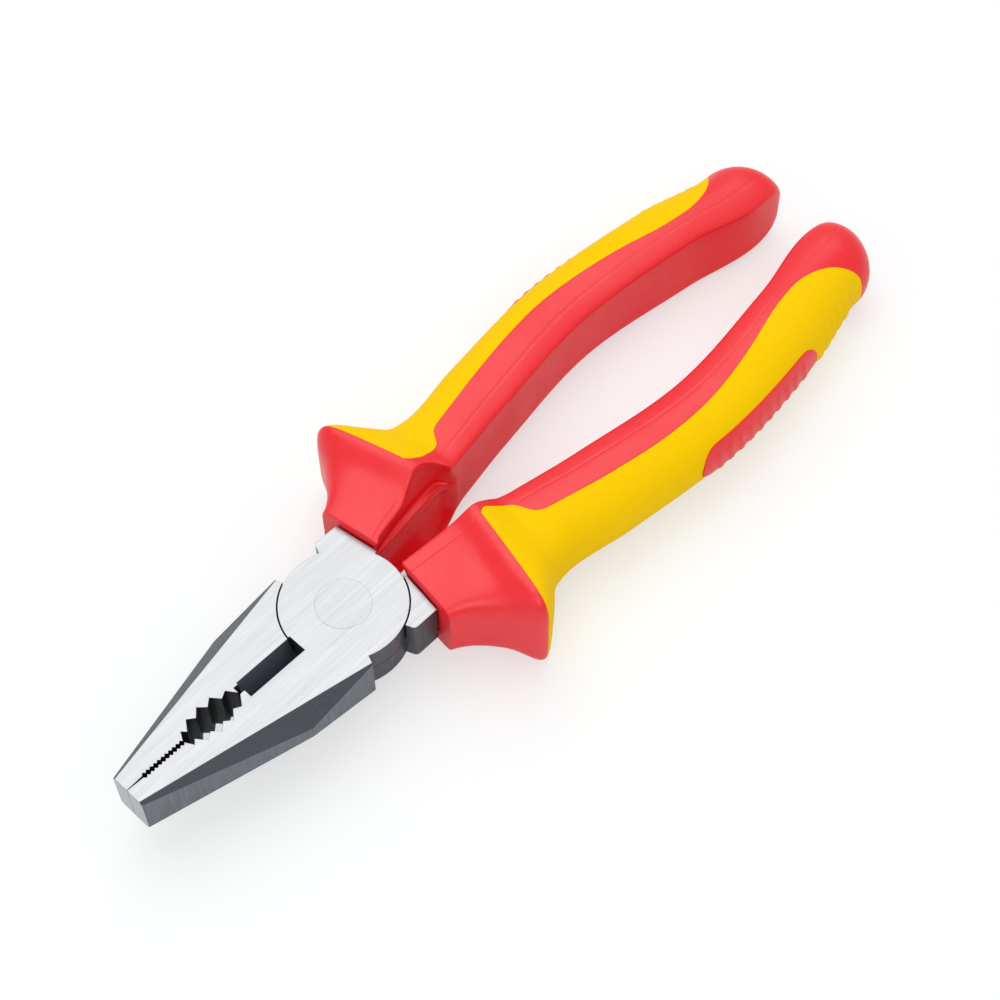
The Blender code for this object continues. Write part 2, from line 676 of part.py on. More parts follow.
def build_cover(name, side, material):
    """The soft cover that lies in the sleeve's window, with a hole round the badge."""
    places, badge_low, badge_high = grip_places(SEAT_GAP)
    last = len(places) - 1
    shell = Shell(side)
    for i, place in enumerate(places):
        shell.add_ring(("skin", i), grip_ring(place, 0.0, SEAT_GAP, rippled=True))
        shell.add_ring(("floor", i), grip_ring(place, SEAT_GAP - COVER_DEPTH, SEAT_GAP))
    for k in range(RING):
        if not in_cover(k):
            continue
        for i in range(last):
            if not (in_badge(k) and badge_low <= i < badge_high):
                shell.quad("skin", i, "skin", i + 1, k)
                shell.quad("floor", i, "floor", i + 1, k)
        shell.wall("skin", "floor", 0, k)
        shell.wall("skin", "floor", last, k)
        if in_badge(k):
            shell.wall("skin", "floor", badge_low, k)
            shell.wall("skin", "floor", badge_high, k)
    for i in range(last):
        for k in (COVER_FIRST, RING - COVER_FIRST):
            shell.rib("skin", "floor", i, i + 1, k)
        if badge_low <= i < badge_high:
            for k in (BADGE_FIRST, RING - BADGE_FIRST):
                shell.rib("skin", "floor", i, i + 1, k)
    return add_shell(name, shell, material)


def add_shell(name, shell, material):
    """The shell as an object, without the points that no face uses."""
    used = sorted({index for face in shell.faces for index in face})
    renumber = {index: i for i, index in enumerate(used)}
    points = [shell.points[index] for index in used]
    faces = [[renumber[index] for index in face] for face in shell.faces]
    obj = add_object(name, points, faces, material)
    obj.data.shade_smooth()
    obj.data.set_sharp_from_angle(angle=math.radians(38))
    return obj


def tang(name, side, gap):
    """The tapered tang that the grip is moulded round, or its socket when given a gap."""
    root = GRIP_MOUTH - SEAT_GAP - 0.4 * MM
    neck_centre = (NECK_INNER + NECK_OUTER) / 2
    palm_centre = (PALM_INNER + PALM_OUTER) / 2
    heel_centre = (HEEL_INNER + HEEL_OUTER) / 2
    centre_places = [root, GRIP_RIM, GRIP_NECK, GRIP_PALM, GRIP_HEEL]
    centres = [TANG_ROOT_CENTRE, TANG_RIM_CENTRE, neck_centre, palm_centre, heel_centre]
    start = root - 0.6 * MM if gap else root
    places = [start, between(root, GRIP_RIM, 0.4), GRIP_RIM, GRIP_NECK, WRIST]
    places += [between(WRIST, GRIP_PALM, 0.5), GRIP_PALM, between(GRIP_PALM, GRIP_HEEL, 0.5)]
    places += [GRIP_HEEL, TANG_REACH + gap]
    corner = 0.8 * MM
    points = []
    for place in places:
        centre = smooth(place, centre_places, centres)
        share = (place - root) / (TANG_REACH - root)
        wide = between(TANG_ROOT_HALF_WIDTH, TANG_TIP_HALF_WIDTH, share) + gap
        tall = between(TANG_ROOT_HALF_HEIGHT, TANG_TIP_HALF_HEIGHT, share) + gap
        slope = MOUTH_SLOPE if place < GRIP_RIM else 0.0
        loop = [(wide, corner - tall), (wide, tall - corner), (wide - corner, tall)]
        loop += [(corner - wide, tall), (-wide, tall - corner), (-wide, corner - tall)]
        loop += [(corner - wide, -tall), (wide - corner, -tall)]
        for across, z in loop:
            x = -place + slope * across
            points.append((x, side * (centre + across), MID_Z + z))
    sides = 8
    faces = [list(range(sides)), list(range(len(points) - sides, len(points)))]
    for ring in range(len(places) - 1):
        for i in range(sides):
            j = (i + 1) % sides
            low, high = ring * sides, (ring + 1) * sides
            faces.append((low + i, low + j, high + j, high + i))
    return add_object(name, points, faces)


# ---------------------------------------------------------------- pieces


def turned_over(obj, name):
    """A copy turned over about the long axis at mid-height."""
    mesh = obj.data.copy()
    for vertex in mesh.vertices:
        x, y, z = vertex.co
        vertex.co = (x, -y, HEAD_THICKNESS - z)
    copy = bpy.data.objects.new(name, mesh)
    bpy.context.scene.collection.objects.link(copy)
    return copy


def build_half(name, flip, material):
    """One forged half. It is drawn as the upper half, and turned over for the lower."""
    body = add_prism(name + "_blank", half_outline(), 0.0, HEAD_THICKNESS, material)
    for point, normal in chamfer_planes():
        trim(body, point, normal)
    lap = [(JOINT_RADIUS + SEAT_GAP, -1.0 * MM), (JOINT_RADIUS + SEAT_GAP, MID_Z + LAP_GAP / 2)]
    tools = [
        add_turned(name + "_lap_recess", lap, round(2 * math.pi / ARC_STEP)),
        cutter_wedge(name + "_cutter_bevel_top", True),
        cutter_wedge(name + "_cutter_bevel_bottom", False),
        add_turned(name + "_rivet_hole", rivet_profile(RIVET_GAP), RIVET_SIDES),
    ]
    if flip:
        land_end = pipe_hole_ends()[0] + 0.02 * MM
        relief = [(land_end - LAND_LENGTH - 0.02 * MM, -0.5 * MM), (land_end, -0.5 * MM)]
        relief += [(land_end, LAND_RELIEF), (land_end - LAND_LENGTH - 0.02 * MM, LAND_RELIEF)]
        low, high = -1.0 * MM, HEAD_THICKNESS + 1.0 * MM
        tools.append(add_prism(name + "_land_relief", relief, low, high))
    shaft = tang(name + "_tang", -1, 0.0)
    if flip:
        turned = [turned_over(item, item.name + "_turned") for item in [body, shaft] + tools]
        for item in [body, shaft] + tools:
            bpy.data.objects.remove(item, do_unlink=True)
        body, shaft, tools = turned[0], turned[1], turned[2:]
    body.name = name
    for tool in tools:
        combine(body, tool, "DIFFERENCE")
    combine(body, shaft, "UNION")
    body.data.set_sharp_from_angle(angle=math.radians(20))
    return body


clear_scene()

steel = make_material("ground_steel", (0.62, 0.63, 0.65), 0.35, 1.0)
rivet_steel = make_material("rivet_steel", (0.58, 0.59, 0.61), 0.30, 1.0)
red = make_material("red_grip", (0.78, 0.03, 0.04), 0.50, 0.0)
yellow = make_material("yellow_cover", (0.95, 0.55, 0.01), 0.60, 0.0)

build_half("upper_half", False, steel)
build_half("lower_half", True, steel)
rivet = add_turned("pivot_rivet", rivet_profile(0.0), RIVET_SIDES, rivet_steel)
rivet.data.shade_smooth()
rivet.data.set_sharp_from_angle(angle=math.radians(30))

for half, side in (("upper", -1), ("lower", 1)):
    sleeve = build_sleeve(half + "_half_sleeve", side, red)
    combine(sleeve, tang(half + "_socket", side, SEAT_GAP), "DIFFERENCE")
    build_cover(half + "_half_cover", side, yellow)
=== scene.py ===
"""Looks of the lineman pliers: forged halves with ground faces and blackened edges, and
handle grips moulded in hard red plastic with a soft yellow cover let into it.

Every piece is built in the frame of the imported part, in metres: the origin on the pivot
axis at the head's lower face, +X to the nose, +Y to the side of the upper half's jaw.
"""

import math

import bmesh
import bpy
import numpy as np
from mathutils import Matrix, Vector


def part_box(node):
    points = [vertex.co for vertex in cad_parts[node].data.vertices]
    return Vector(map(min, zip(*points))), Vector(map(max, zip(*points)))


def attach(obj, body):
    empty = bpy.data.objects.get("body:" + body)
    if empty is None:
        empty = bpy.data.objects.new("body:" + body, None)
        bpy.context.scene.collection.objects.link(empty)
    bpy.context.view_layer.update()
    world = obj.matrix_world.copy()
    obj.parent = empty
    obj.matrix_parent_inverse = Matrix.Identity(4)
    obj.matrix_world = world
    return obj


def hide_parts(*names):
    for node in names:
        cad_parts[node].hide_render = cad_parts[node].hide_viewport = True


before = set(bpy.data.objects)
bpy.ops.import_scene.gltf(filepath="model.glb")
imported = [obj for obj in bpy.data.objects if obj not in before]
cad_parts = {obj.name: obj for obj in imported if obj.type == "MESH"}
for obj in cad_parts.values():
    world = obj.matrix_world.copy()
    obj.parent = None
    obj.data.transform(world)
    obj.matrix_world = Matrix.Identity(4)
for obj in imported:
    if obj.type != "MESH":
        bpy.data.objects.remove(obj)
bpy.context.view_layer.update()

MM = 0.001

# ---------- sizes read from the part

rivet_low, rivet_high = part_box("pivot_rivet")
HEAD_THICKNESS = rivet_high.z - rivet_low.z
JAW_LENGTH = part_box("upper_half")[1].x
MID_Z = HEAD_THICKNESS / 2

# How far the cutting tools reach past a solid, and a length too small to be seen
OVERCUT = 1.0 * MM
TOLERANCE = 0.01 * MM

# ---------- sizes of the head

# Half widths and the lug's inner and outer side are measured off the long axis, and the
# lug's ends and the tang's reach back from the pivot axis.
NOSE_GAP = 0.04 * MM
TEETH_GAP = 0.34 * MM
LAP_GAP = 0.12 * MM
SEAT_GAP = 0.24 * MM
RIVET_GAP = 0.012 * MM
JOINT_RADIUS = 11.6 * MM
NOSE_HALF_WIDTH = 3.7 * MM
HIP_X = 19.7 * MM
HIP_HALF_WIDTH = 12.6 * MM
SHOULDER_RADIUS = 13.45 * MM
SHOULDER_ANGLE = math.radians(68.2)
NOSE_CHAMFER = 0.6 * MM
SHOULDER_CHAMFER = 0.3 * MM
FLAT_NOSE = 3.5 * MM
FINE_PITCH = 0.82 * MM
FINE_TEETH = 11
COARSE_PITCH = 2.75 * MM
COARSE_TEETH = 5
PIPE_HOLE_DEPTH = 3.15 * MM
LAND_LENGTH = 1.0 * MM
LAND_RELIEF = 1.5 * MM
LAND_OVERLAP = 0.02 * MM
CUTTER_HALF_WIDTH = 1.9 * MM
CUTTER_MARGIN = 0.1 * MM
CUTTER_EDGE = LAP_GAP
CUTTER_NOTCH = 0.5 * MM
LAP_SIDES = 240
RIVET_RADIUS = 3.0 * MM
RIVET_HEAD_RADIUS = 5.1 * MM
RIVET_HEAD_DEPTH = 1.2 * MM
RIVET_SIDES = 160
LUG_ANGLE = math.radians(111.5)
LUG_INNER = 3.6 * MM
LUG_OUTER = 12.8 * MM
LUG_END_INNER = 11.7 * MM
LUG_END_OUTER = 10.4 * MM
LUG_CORNER = 1.0 * MM
TANG_REACH = 112.0 * MM
TANG_ROOT_CENTRE = 9.7 * MM
TANG_RIM_CENTRE = 13.5 * MM
TANG_ROOT_HALF_WIDTH = 2.5 * MM
TANG_TIP_HALF_WIDTH = 2.1 * MM
TANG_ROOT_HALF_HEIGHT = 3.7 * MM
TANG_TIP_HALF_HEIGHT = 2.4 * MM
TANG_CORNER = 0.8 * MM
TANG_OVERLAP = 0.4 * MM
SOCKET_LEAD = 0.6 * MM
SOCKET_GAP = 0.15 * MM

# Shares of the pitch: what the pipe hole cuts off its last coarse tooth, how near the last
# valley may come to the hole's end, and the least height of a tip
LAST_TOOTH_CUT = 0.4
LAST_VALLEY = 0.32
LEAST_TIP = 0.15

# Width of the small rounded edges, and the least turn in degrees that counts as an edge
STEEL_EDGE, STEEL_TURN = 0.07 * MM, 15
RIVET_EDGE, RIVET_TURN = 0.015 * MM, 25
MOULD_EDGE, MOULD_TURN = 0.06 * MM, 45

# ---------- sizes of the grips

# Places along a grip are measured back from the pivot axis, its inner and outer side off
# the long axis, and its half heights from mid-height.
GRIP_RIM = 24.6 * MM
GRIP_NECK = 36.0 * MM
GRIP_PALM = 77.0 * MM
GRIP_HEEL = 104.0 * MM
GRIP_CAP = 121.4 * MM
GRIP_END = 130.1 * MM
MOUTH_INNER = 2.1 * MM
MOUTH_OUTER = 16.4 * MM
MOUTH_WALL = 2.0 * MM
RIM_INNER = 4.3 * MM
RIM_OUTER = 29.1 * MM
RIM_HALF_HEIGHT = 10.85 * MM
RIM_LEAN = 6.6 * MM
NECK_INNER = 5.9 * MM
NECK_OUTER = 21.4 * MM
NECK_HALF_HEIGHT = 8.0 * MM
PALM_INNER = 11.6 * MM
PALM_OUTER = 26.6 * MM
PALM_HALF_HEIGHT = 7.7 * MM
HEEL_INNER = 9.0 * MM
HEEL_OUTER = 24.0 * MM
HEEL_HALF_HEIGHT = 8.5 * MM
CAP_INNER = 5.6 * MM
CAP_OUTER = 20.6 * MM
CAP_HALF_HEIGHT = 7.9 * MM
TAIL_POWER = 3.0
TAIL_INNER_POWER = 4.5
TAIL_OUTER_POWER = 2.0
TAIL_TIP_SHARE = 0.35
RIB_START = 4.3 * MM
RIB_END = 7.6 * MM
RIB_OPEN_SIDE = 1.3 * MM
RIB_CLOSED_SIDE = 0.4 * MM
OPEN_EDGE_RIM = 8.4 * MM
HOLLOW_DEPTH = 1.4 * MM
LIP_HEIGHT_SHARE = 0.95
COVER_DEPTH = 1.2 * MM
COVER_EASING = 2.2 * MM
COVER_FRONT_EASING = 0.5 * MM
COVER_START = 25.1 * MM
COVER_END = 121.6 * MM
COVER_GAP = 0.03 * MM
BADGE_START = 67.0 * MM
BADGE_END = 103.0 * MM
BADGE_HALF_HEIGHT = 4.4 * MM
BADGE_OPEN_HALF_HEIGHT = 2.5 * MM
BADGE_RISE = 0.24 * MM
CORNER_SOFTENING = 0.3 * MM
TAIL_SOFTENING = 1.2 * MM
LENGTH_SOFTENING = 0.6 * MM
FULL_ROUND = 40.0 * MM

# The seam where the two halves of the mould met, a fine groove along both broad faces. It
# fades out where the cover or the grip's inner crease comes near.
SEAM_HALF_WIDTH = 0.1 * MM
SEAM_DEPTH = 0.028 * MM
SEAM_MOUTH_DEPTH = 0.06 * MM
SEAM_CLEARANCE = 0.3 * MM
SEAM_FADE = 0.5 * MM

# Ripples across the cover behind the badge, and bars across the badge
RIPPLE_START = 104.2 * MM
RIPPLE_PITCH = 2.7 * MM
RIPPLES = 5
RIPPLE_RISE = 0.4 * MM
RIPPLE_HALF_HEIGHT = 5.6 * MM
BAR_START = 71.5 * MM
BAR_PITCH = 3.0 * MM
BARS = 10
BAR_HALF_WIDTH = 0.65 * MM
BAR_HALF_HEIGHT = 2.3 * MM
BAR_RISE = 0.24 * MM
BAR_SLANT = 0.25
BAR_FLANK = 0.35 * MM

# Distances between the sections that a grip is drawn through, along its parts
GUARD_STEP = 0.5 * MM
GUARD_LAST_GAP = 0.4 * MM
WAIST_STEP = 0.45 * MM
PALM_STEP = 0.8 * MM
BADGE_STEP = 0.35 * MM
RIPPLE_STEP = 0.3 * MM
TAIL_STEP = math.radians(2.5)
TAIL_LAST_TURN = math.radians(88.5)

# ---------- mesh helpers


def add_to_scene(name, data):
    """An object that holds the given mesh, light or camera."""
    obj = bpy.data.objects.new(name, data)
    bpy.context.scene.collection.objects.link(obj)
    return obj


def add_object(name, points, faces, materials):
    """A mesh object whose faces all point out."""
    mesh = bpy.data.meshes.new(name)
    mesh.from_pydata([tuple(point) for point in points], [], faces)
    shell = bmesh.new()
    shell.from_mesh(mesh)
    bmesh.ops.recalc_face_normals(shell, faces=shell.faces)
    shell.to_mesh(mesh)
    shell.free()
    obj = add_to_scene(name, mesh)
    for material in materials:
        mesh.materials.append(material)
    return obj


def add_lofted(name, points, sides, materials):
    """A solid through rings of points, all with the same number of sides, and end caps."""
    faces = [list(range(sides))[::-1], list(range(len(points) - sides, len(points)))]
    for low in range(0, len(points) - sides, sides):
        high = low + sides
        for i in range(sides):
            j = (i + 1) % sides
            faces.append((low + i, low + j, high + j, high + i))
    return add_object(name, points, faces, materials)


def add_prism(name, outline, low, high, materials):
    """A plan outline extruded from one height to another."""
    points = [(x, y, z) for z in (low, high) for x, y in outline]
    return add_lofted(name, points, len(outline), materials)


def add_turned(name, profile, sides, materials):
    """A solid of revolution about the pivot axis, from (radius, height) points."""
    angles = [2 * math.pi * i / sides for i in range(sides)]
    points = [(*polar(radius, angle), z) for radius, z in profile for angle in angles]
    return add_lofted(name, points, sides, materials)


def combine(obj, tool, operation):
    """Adds or cuts another solid, whose faces keep their own material."""
    modifier = obj.modifiers.new(operation.title() + " " + tool.name, "BOOLEAN")
    modifier.operation = operation
    modifier.object = tool
    modifier.solver = "EXACT"
    modifier.material_mode = "TRANSFER"


def settle(obj, tools):
    """Turns the object's modifiers into its mesh, and clears the tools away."""
    graph = bpy.context.evaluated_depsgraph_get()
    mesh = bpy.data.meshes.new_from_object(obj.evaluated_get(graph))
    obj.modifiers.clear()
    obj.data = mesh
    for tool in tools:
        bpy.data.objects.remove(tool, do_unlink=True)


def soften_edges(obj, width, least_turn):
    """Small rounded edges, shaded smoothly into flat faces."""
    bevel = obj.modifiers.new("Small edge rounding", "BEVEL")
    bevel.width = width
    bevel.segments = 2
    bevel.limit_method = "ANGLE"
    bevel.angle_limit = math.radians(least_turn)
    bevel.use_clamp_overlap = False
    bevel.harden_normals = True
    obj.data.shade_smooth()


def trim(obj, point, normal):
    """Cuts off what lies beyond a plane, and closes the cut."""
    shell = bmesh.new()
    shell.from_mesh(obj.data)
    geometry = shell.verts[:] + shell.edges[:] + shell.faces[:]
    cut = bmesh.ops.bisect_plane(
        shell, geom=geometry, plane_co=point, plane_no=normal, clear_outer=True
    )
    rim = [item for item in cut["geom_cut"] if isinstance(item, bmesh.types.BMEdge)]
    bmesh.ops.contextual_create(shell, geom=rim)
    bmesh.ops.recalc_face_normals(shell, faces=shell.faces)
    shell.to_mesh(obj.data)
    shell.free()


def polar(radius, angle):
    return (radius * math.cos(angle), radius * math.sin(angle))


def arc(radius, start, end, step=math.radians(1.5)):
    """Points along an arc about the pivot axis, about a step apart."""
    steps = max(1, math.ceil(abs(end - start) / step))
    return [polar(radius, start + (end - start) * i / steps) for i in range(steps + 1)]


def between(a, b, share):
    """The value that lies a share of the way from a to b."""
    return a + (b - a) * share


def smooth(at, places, values):
    """A curve through the given values that never overshoots between them."""
    if at <= places[0]:
        return values[0]
    if at >= places[-1]:
        return values[-1]
    spans = [b - a for a, b in zip(places, places[1:])]
    steps = [(b - a) / span for a, b, span in zip(values, values[1:], spans)]
    slopes = [0.0] * len(values)
    for i in range(1, len(steps)):
        if steps[i - 1] * steps[i] > 0:
            slopes[i] = 2 * steps[i - 1] * steps[i] / (steps[i - 1] + steps[i])
    i = max(k for k, place in enumerate(places[:-1]) if place <= at)
    t = (at - places[i]) / spans[i]
    rise = values[i] + (values[i + 1] - values[i]) * t * t * (3 - 2 * t)
    bend = slopes[i] * t * (1 - t) ** 2 - slopes[i + 1] * t * t * (1 - t)
    return rise + spans[i] * bend


def fade(value, low, high):
    """0 below low, 1 above high, and an even ramp between them."""
    t = np.clip((value - low) / (high - low), 0, 1)
    return t * t * (3 - 2 * t)


# ---------- materials


class Nodes:
    """Short ways to add and join nodes in one node tree."""

    def __init__(self, tree):
        self.tree = tree

    def add(self, kind, **settings):
        node = self.tree.nodes.new(kind)
        for key, value in settings.items():
            setattr(node, key, value)
        return node

    def join(self, source, target):
        self.tree.links.new(source, target)

    def maths(self, operation, first, second):
        """A sum of two values, each a number or a socket."""
        node = self.add("ShaderNodeMath", operation=operation)
        for socket, value in zip(node.inputs, (first, second)):
            if isinstance(value, (int, float)):
                socket.default_value = value
            else:
                self.join(value, socket)
        return node.outputs[0]

    def ramp(self, value, ends):
        """0 at the darkest value and 1 at the lightest, which the group's inputs give."""
        node = self.add("ShaderNodeMapRange", interpolation_type="SMOOTHSTEP")
        self.join(value, node.inputs["Value"])
        self.join(ends.outputs["Darkest"], node.inputs["From Min"])
        self.join(ends.outputs["Lightest"], node.inputs["From Max"])
        return node.outputs["Result"]

    def mix(self, share, first, second):
        """A share of the way from the first colour to the second."""
        node = self.add("ShaderNodeMix", data_type="RGBA")
        self.join(share, node.inputs["Factor"])
        for socket, colour in ((node.inputs["A"], first), (node.inputs["B"], second)):
            if isinstance(colour, tuple):
                socket.default_value = (*colour, 1.0)
            else:
                self.join(colour, socket)
        return node.outputs["Result"]

    def noise(self, stretch, detail, roughness=0.55):
        """Noise over the piece; stretch is how many times it repeats in a metre, per axis."""
        place = self.add("ShaderNodeTexCoord").outputs["Object"]
        mapping = self.add("ShaderNodeMapping")
        self.join(place, mapping.inputs["Vector"])
        mapping.inputs["Scale"].default_value = stretch
        texture = self.add("ShaderNodeTexNoise")
        texture.inputs["Scale"].default_value = 1.0
        texture.inputs["Detail"].default_value = detail
        texture.inputs["Roughness"].default_value = roughness
        self.join(mapping.outputs["Vector"], texture.inputs["Vector"])
        return texture.outputs["Fac"]


def make_group(name, inputs, outputs):
    """A node group whose named sockets all hold numbers."""
    group = bpy.data.node_groups.new(name, "ShaderNodeTree")
    for in_out, keys in (("INPUT", inputs), ("OUTPUT", outputs)):
        for key in keys:
            group.interface.new_socket(key, in_out=in_out, socket_type="NodeSocketFloat")
    nodes = Nodes(group)
    return group, nodes, nodes.add("NodeGroupInput"), nodes.add("NodeGroupOutput")


def grinding_grain():
    """Lengthwise grinding lines, with fine and coarse ones mixed."""
    group, nodes, given, out = make_group(
        "Grinding grain", ["Coarseness", "Darkest", "Lightest"], ["Shade", "Height"]
    )
    coarseness = given.outputs["Coarseness"]
    fine = nodes.noise((90, 5200, 5200), detail=2.0)
    coarse = nodes.noise((40, 1300, 1300), detail=2.0)
    fine = nodes.maths("MULTIPLY", fine, nodes.maths("SUBTRACT", 1.0, coarseness))
    both = nodes.maths("ADD", fine, nodes.maths("MULTIPLY", coarse, coarseness))
    nodes.join(nodes.ramp(both, given), out.inputs["Shade"])
    nodes.join(both, out.inputs["Height"])
    return group


def milling_marks():
    """Marks that run from face to face across the blackened edges."""
    group, nodes, given, out = make_group(
        "Milling marks", ["Darkest", "Lightest"], ["Shade", "Height"]
    )
    fine = nodes.noise((3800, 3800, 160), detail=2.0)
    nodes.join(nodes.ramp(fine, given), out.inputs["Shade"])
    nodes.join(fine, out.inputs["Height"])
    return group


def handling_smudges():
    """Broad soft patches where hands and oil have dulled the surface, and the stain that a
    given amount of them leaves."""
    group, nodes, given, out = make_group(
        "Handling smudges", ["Amount", "Darkest", "Lightest"], ["Patches", "Stain"]
    )
    patches = nodes.ramp(nodes.noise((95, 95, 95), detail=4.0), given)
    nodes.join(patches, out.inputs["Patches"])
    stain = nodes.maths("MULTIPLY", patches, given.outputs["Amount"])
    nodes.join(stain, out.inputs["Stain"])
    return group


def moulded_texture():
    """The fine pebbled skin that a spark-eroded mould leaves."""
    group, nodes, given, out = make_group(
        "Moulded skin", ["Darkest", "Lightest"], ["Height", "Specks"]
    )
    nodes.join(nodes.noise((3000, 3000, 3000), detail=2.0), out.inputs["Height"])
    specks = nodes.noise((1500, 1500, 1500), detail=5.0, roughness=0.7)
    nodes.join(nodes.ramp(specks, given), out.inputs["Specks"])
    return group


# What handling leaves of bare steel's brightness
DULLED_SHARE = 0.93

GRAIN = grinding_grain()
MILLING = milling_marks()
SMUDGES = handling_smudges()
SKIN = moulded_texture()


def start_material(name, roughness, metallic):
    """A material, its nodes and its shader."""
    material = bpy.data.materials.new(name)
    material.use_nodes = True
    nodes = Nodes(material.node_tree)
    shader = material.node_tree.nodes["Principled BSDF"]
    shader.inputs["Roughness"].default_value = roughness
    shader.inputs["Metallic"].default_value = metallic
    return material, nodes, shader


def use_group(nodes, group, **values):
    """A group placed in a material, with the values that the material gives it."""
    node = nodes.add("ShaderNodeGroup", node_tree=group)
    for key, value in values.items():
        node.inputs[key].default_value = value
    return node


def add_bump(nodes, shader, height, distance, strength):
    """Fine relief of the surface, from a height that changes over it."""
    bump = nodes.add("ShaderNodeBump")
    bump.inputs["Strength"].default_value = strength
    bump.inputs["Distance"].default_value = distance
    nodes.join(height, bump.inputs["Height"])
    nodes.join(bump.outputs["Normal"], shader.inputs["Normal"])


def vary_roughness(nodes, shader, value, low, high):
    """Roughness that goes from low where the value is 0 to high where it is 1."""
    node = nodes.add("ShaderNodeMapRange")
    nodes.join(value, node.inputs["Value"])
    node.inputs["To Min"].default_value = low
    node.inputs["To Max"].default_value = high
    nodes.join(node.outputs["Result"], shader.inputs["Roughness"])


def ground_steel(name, dark, light):
    """Bare steel, ground lengthwise, and a little dulled where it was handled."""
    material, nodes, shader = start_material(name, roughness=0.34, metallic=1.0)
    grain = use_group(nodes, GRAIN, Coarseness=0.4, Darkest=0.3, Lightest=0.7)
    smudges = use_group(nodes, SMUDGES, Amount=0.35, Darkest=0.35, Lightest=0.7)
    colour = nodes.mix(grain.outputs["Shade"], dark, light)
    dull = tuple(DULLED_SHARE * value for value in light)
    nodes.join(nodes.mix(smudges.outputs["Stain"], colour, dull), shader.inputs["Base Color"])
    vary_roughness(nodes, shader, grain.outputs["Shade"], low=0.38, high=0.30)
    add_bump(nodes, shader, grain.outputs["Height"], distance=0.02 * MM, strength=0.5)
    return material


def blackened_steel(name, dark, light):
    """Steel with its dark heat-treated skin, milled or forged. A darker and a lighter copy of it
    also stand as painted shade and a painted reflection on some faces of the jaw.
    """
    material, nodes, shader = start_material(name, roughness=0.36, metallic=0.9)
    marks = use_group(nodes, MILLING, Darkest=0.3, Lightest=0.75)
    smudges = use_group(nodes, SMUDGES, Amount=1.0, Darkest=0.35, Lightest=0.7)
    colour = nodes.mix(marks.outputs["Shade"], dark, light)
    middling = tuple((a + b) / 2 for a, b in zip(dark, light))
    stained = nodes.mix(smudges.outputs["Stain"], colour, middling)
    nodes.join(stained, shader.inputs["Base Color"])
    vary_roughness(nodes, shader, marks.outputs["Shade"], low=0.42, high=0.32)
    add_bump(nodes, shader, marks.outputs["Height"], distance=0.02 * MM, strength=0.5)
    return material


def moulded_plastic(name, dark, light, rough, shine):
    """Plastic or rubber with the fine skin of its mould."""
    material, nodes, shader = start_material(name, roughness=rough, metallic=0.0)
    skin = use_group(nodes, SKIN, Darkest=0.35, Lightest=0.75)
    smudges = use_group(nodes, SMUDGES, Amount=0.3, Darkest=0.35, Lightest=0.7)
    colour = nodes.mix(skin.outputs["Specks"], dark, light)
    nodes.join(nodes.mix(smudges.outputs["Stain"], colour, dark), shader.inputs["Base Color"])
    vary_roughness(nodes, shader, smudges.outputs["Patches"], rough, rough + 0.1)
    shader.inputs["Specular IOR Level"].default_value = shine
    add_bump(nodes, shader, skin.outputs["Height"], distance=0.03 * MM, strength=0.35)
    return material


# Each finish has a dark and a light colour, which its grain, marks or specks mix.
STEEL = ground_steel("ground_steel", (0.418, 0.425, 0.438), (0.475, 0.483, 0.495))
RIVET_STEEL = ground_steel("rivet_steel", (0.407, 0.414, 0.427), (0.465, 0.472, 0.484))
HARDENED = ground_steel("hardened_edge", (0.21, 0.226, 0.252), (0.36, 0.38, 0.41))
BLACK = blackened_steel("blackened_steel", (0.093, 0.099, 0.116), (0.134, 0.141, 0.161))
# A lighter copy of the blackened steel for the jaw's outer sides: a painted reflection.
FLANKS_PAINTED_REFLECTION = blackened_steel("flanks_painted_reflection", (0.158, 0.168, 0.195), (0.225, 0.238, 0.27))
# A darker copy of the blackened steel for the faces of the bite between the jaws: painted shade.
TEETH_PAINTED_SHADE = blackened_steel("tooth_flanks_painted_shade", (0.035, 0.038, 0.044), (0.06, 0.064, 0.072))
RED = moulded_plastic(
    "red_grip", (0.87, 0.003, 0.012), (0.96, 0.006, 0.016), rough=0.32, shine=0.7
)
YELLOW = moulded_plastic(
    "yellow_cover", (0.97, 0.6, 0.0), (1.0, 0.63, 0.0), rough=0.6, shine=0.06
)

# ---------- head


def pipe_hole_ends():
    """Where the oval pipe hole starts and ends along the jaw, cutter side first."""
    nose_end = JAW_LENGTH - FLAT_NOSE - FINE_TEETH * FINE_PITCH
    return nose_end - (COARSE_TEETH - LAST_TOOTH_CUT) * COARSE_PITCH, nose_end


def bite_outline():
    """The jaw's closing edge from the cutter to the nose: land, coarse teeth in an oval,
    fine teeth, and the flat nose, whose tips meet."""
    low, high = pipe_hole_ends()
    middle, reach = (low + high) / 2, (high - low) / 2
    tooth = COARSE_PITCH / 2
    least = LEAST_TIP * COARSE_PITCH
    edge = TEETH_GAP / 2
    points = [(low, edge)]
    for i in range(COARSE_TEETH):
        valley = min(low + (i + 0.5) * COARSE_PITCH, high - LAST_VALLEY * COARSE_PITCH)
        tip = low + (i + 1) * COARSE_PITCH
        bulge = math.sqrt(max(0.0, 1 - ((valley - middle) / reach) ** 2))
        points.append((valley, edge + PIPE_HOLE_DEPTH * bulge))
        if i < COARSE_TEETH - 1:
            bulge = math.sqrt(max(0.0, 1 - ((tip - middle) / reach) ** 2))
            points.append((tip, edge + max(least, PIPE_HOLE_DEPTH * bulge - tooth)))
    for i in range(FINE_TEETH):
        root = high + i * FINE_PITCH
        points.append((root, edge))
        points.append((root + FINE_PITCH / 2, edge + FINE_PITCH / 2))
    points.append((JAW_LENGTH - FLAT_NOSE, edge))
    return points


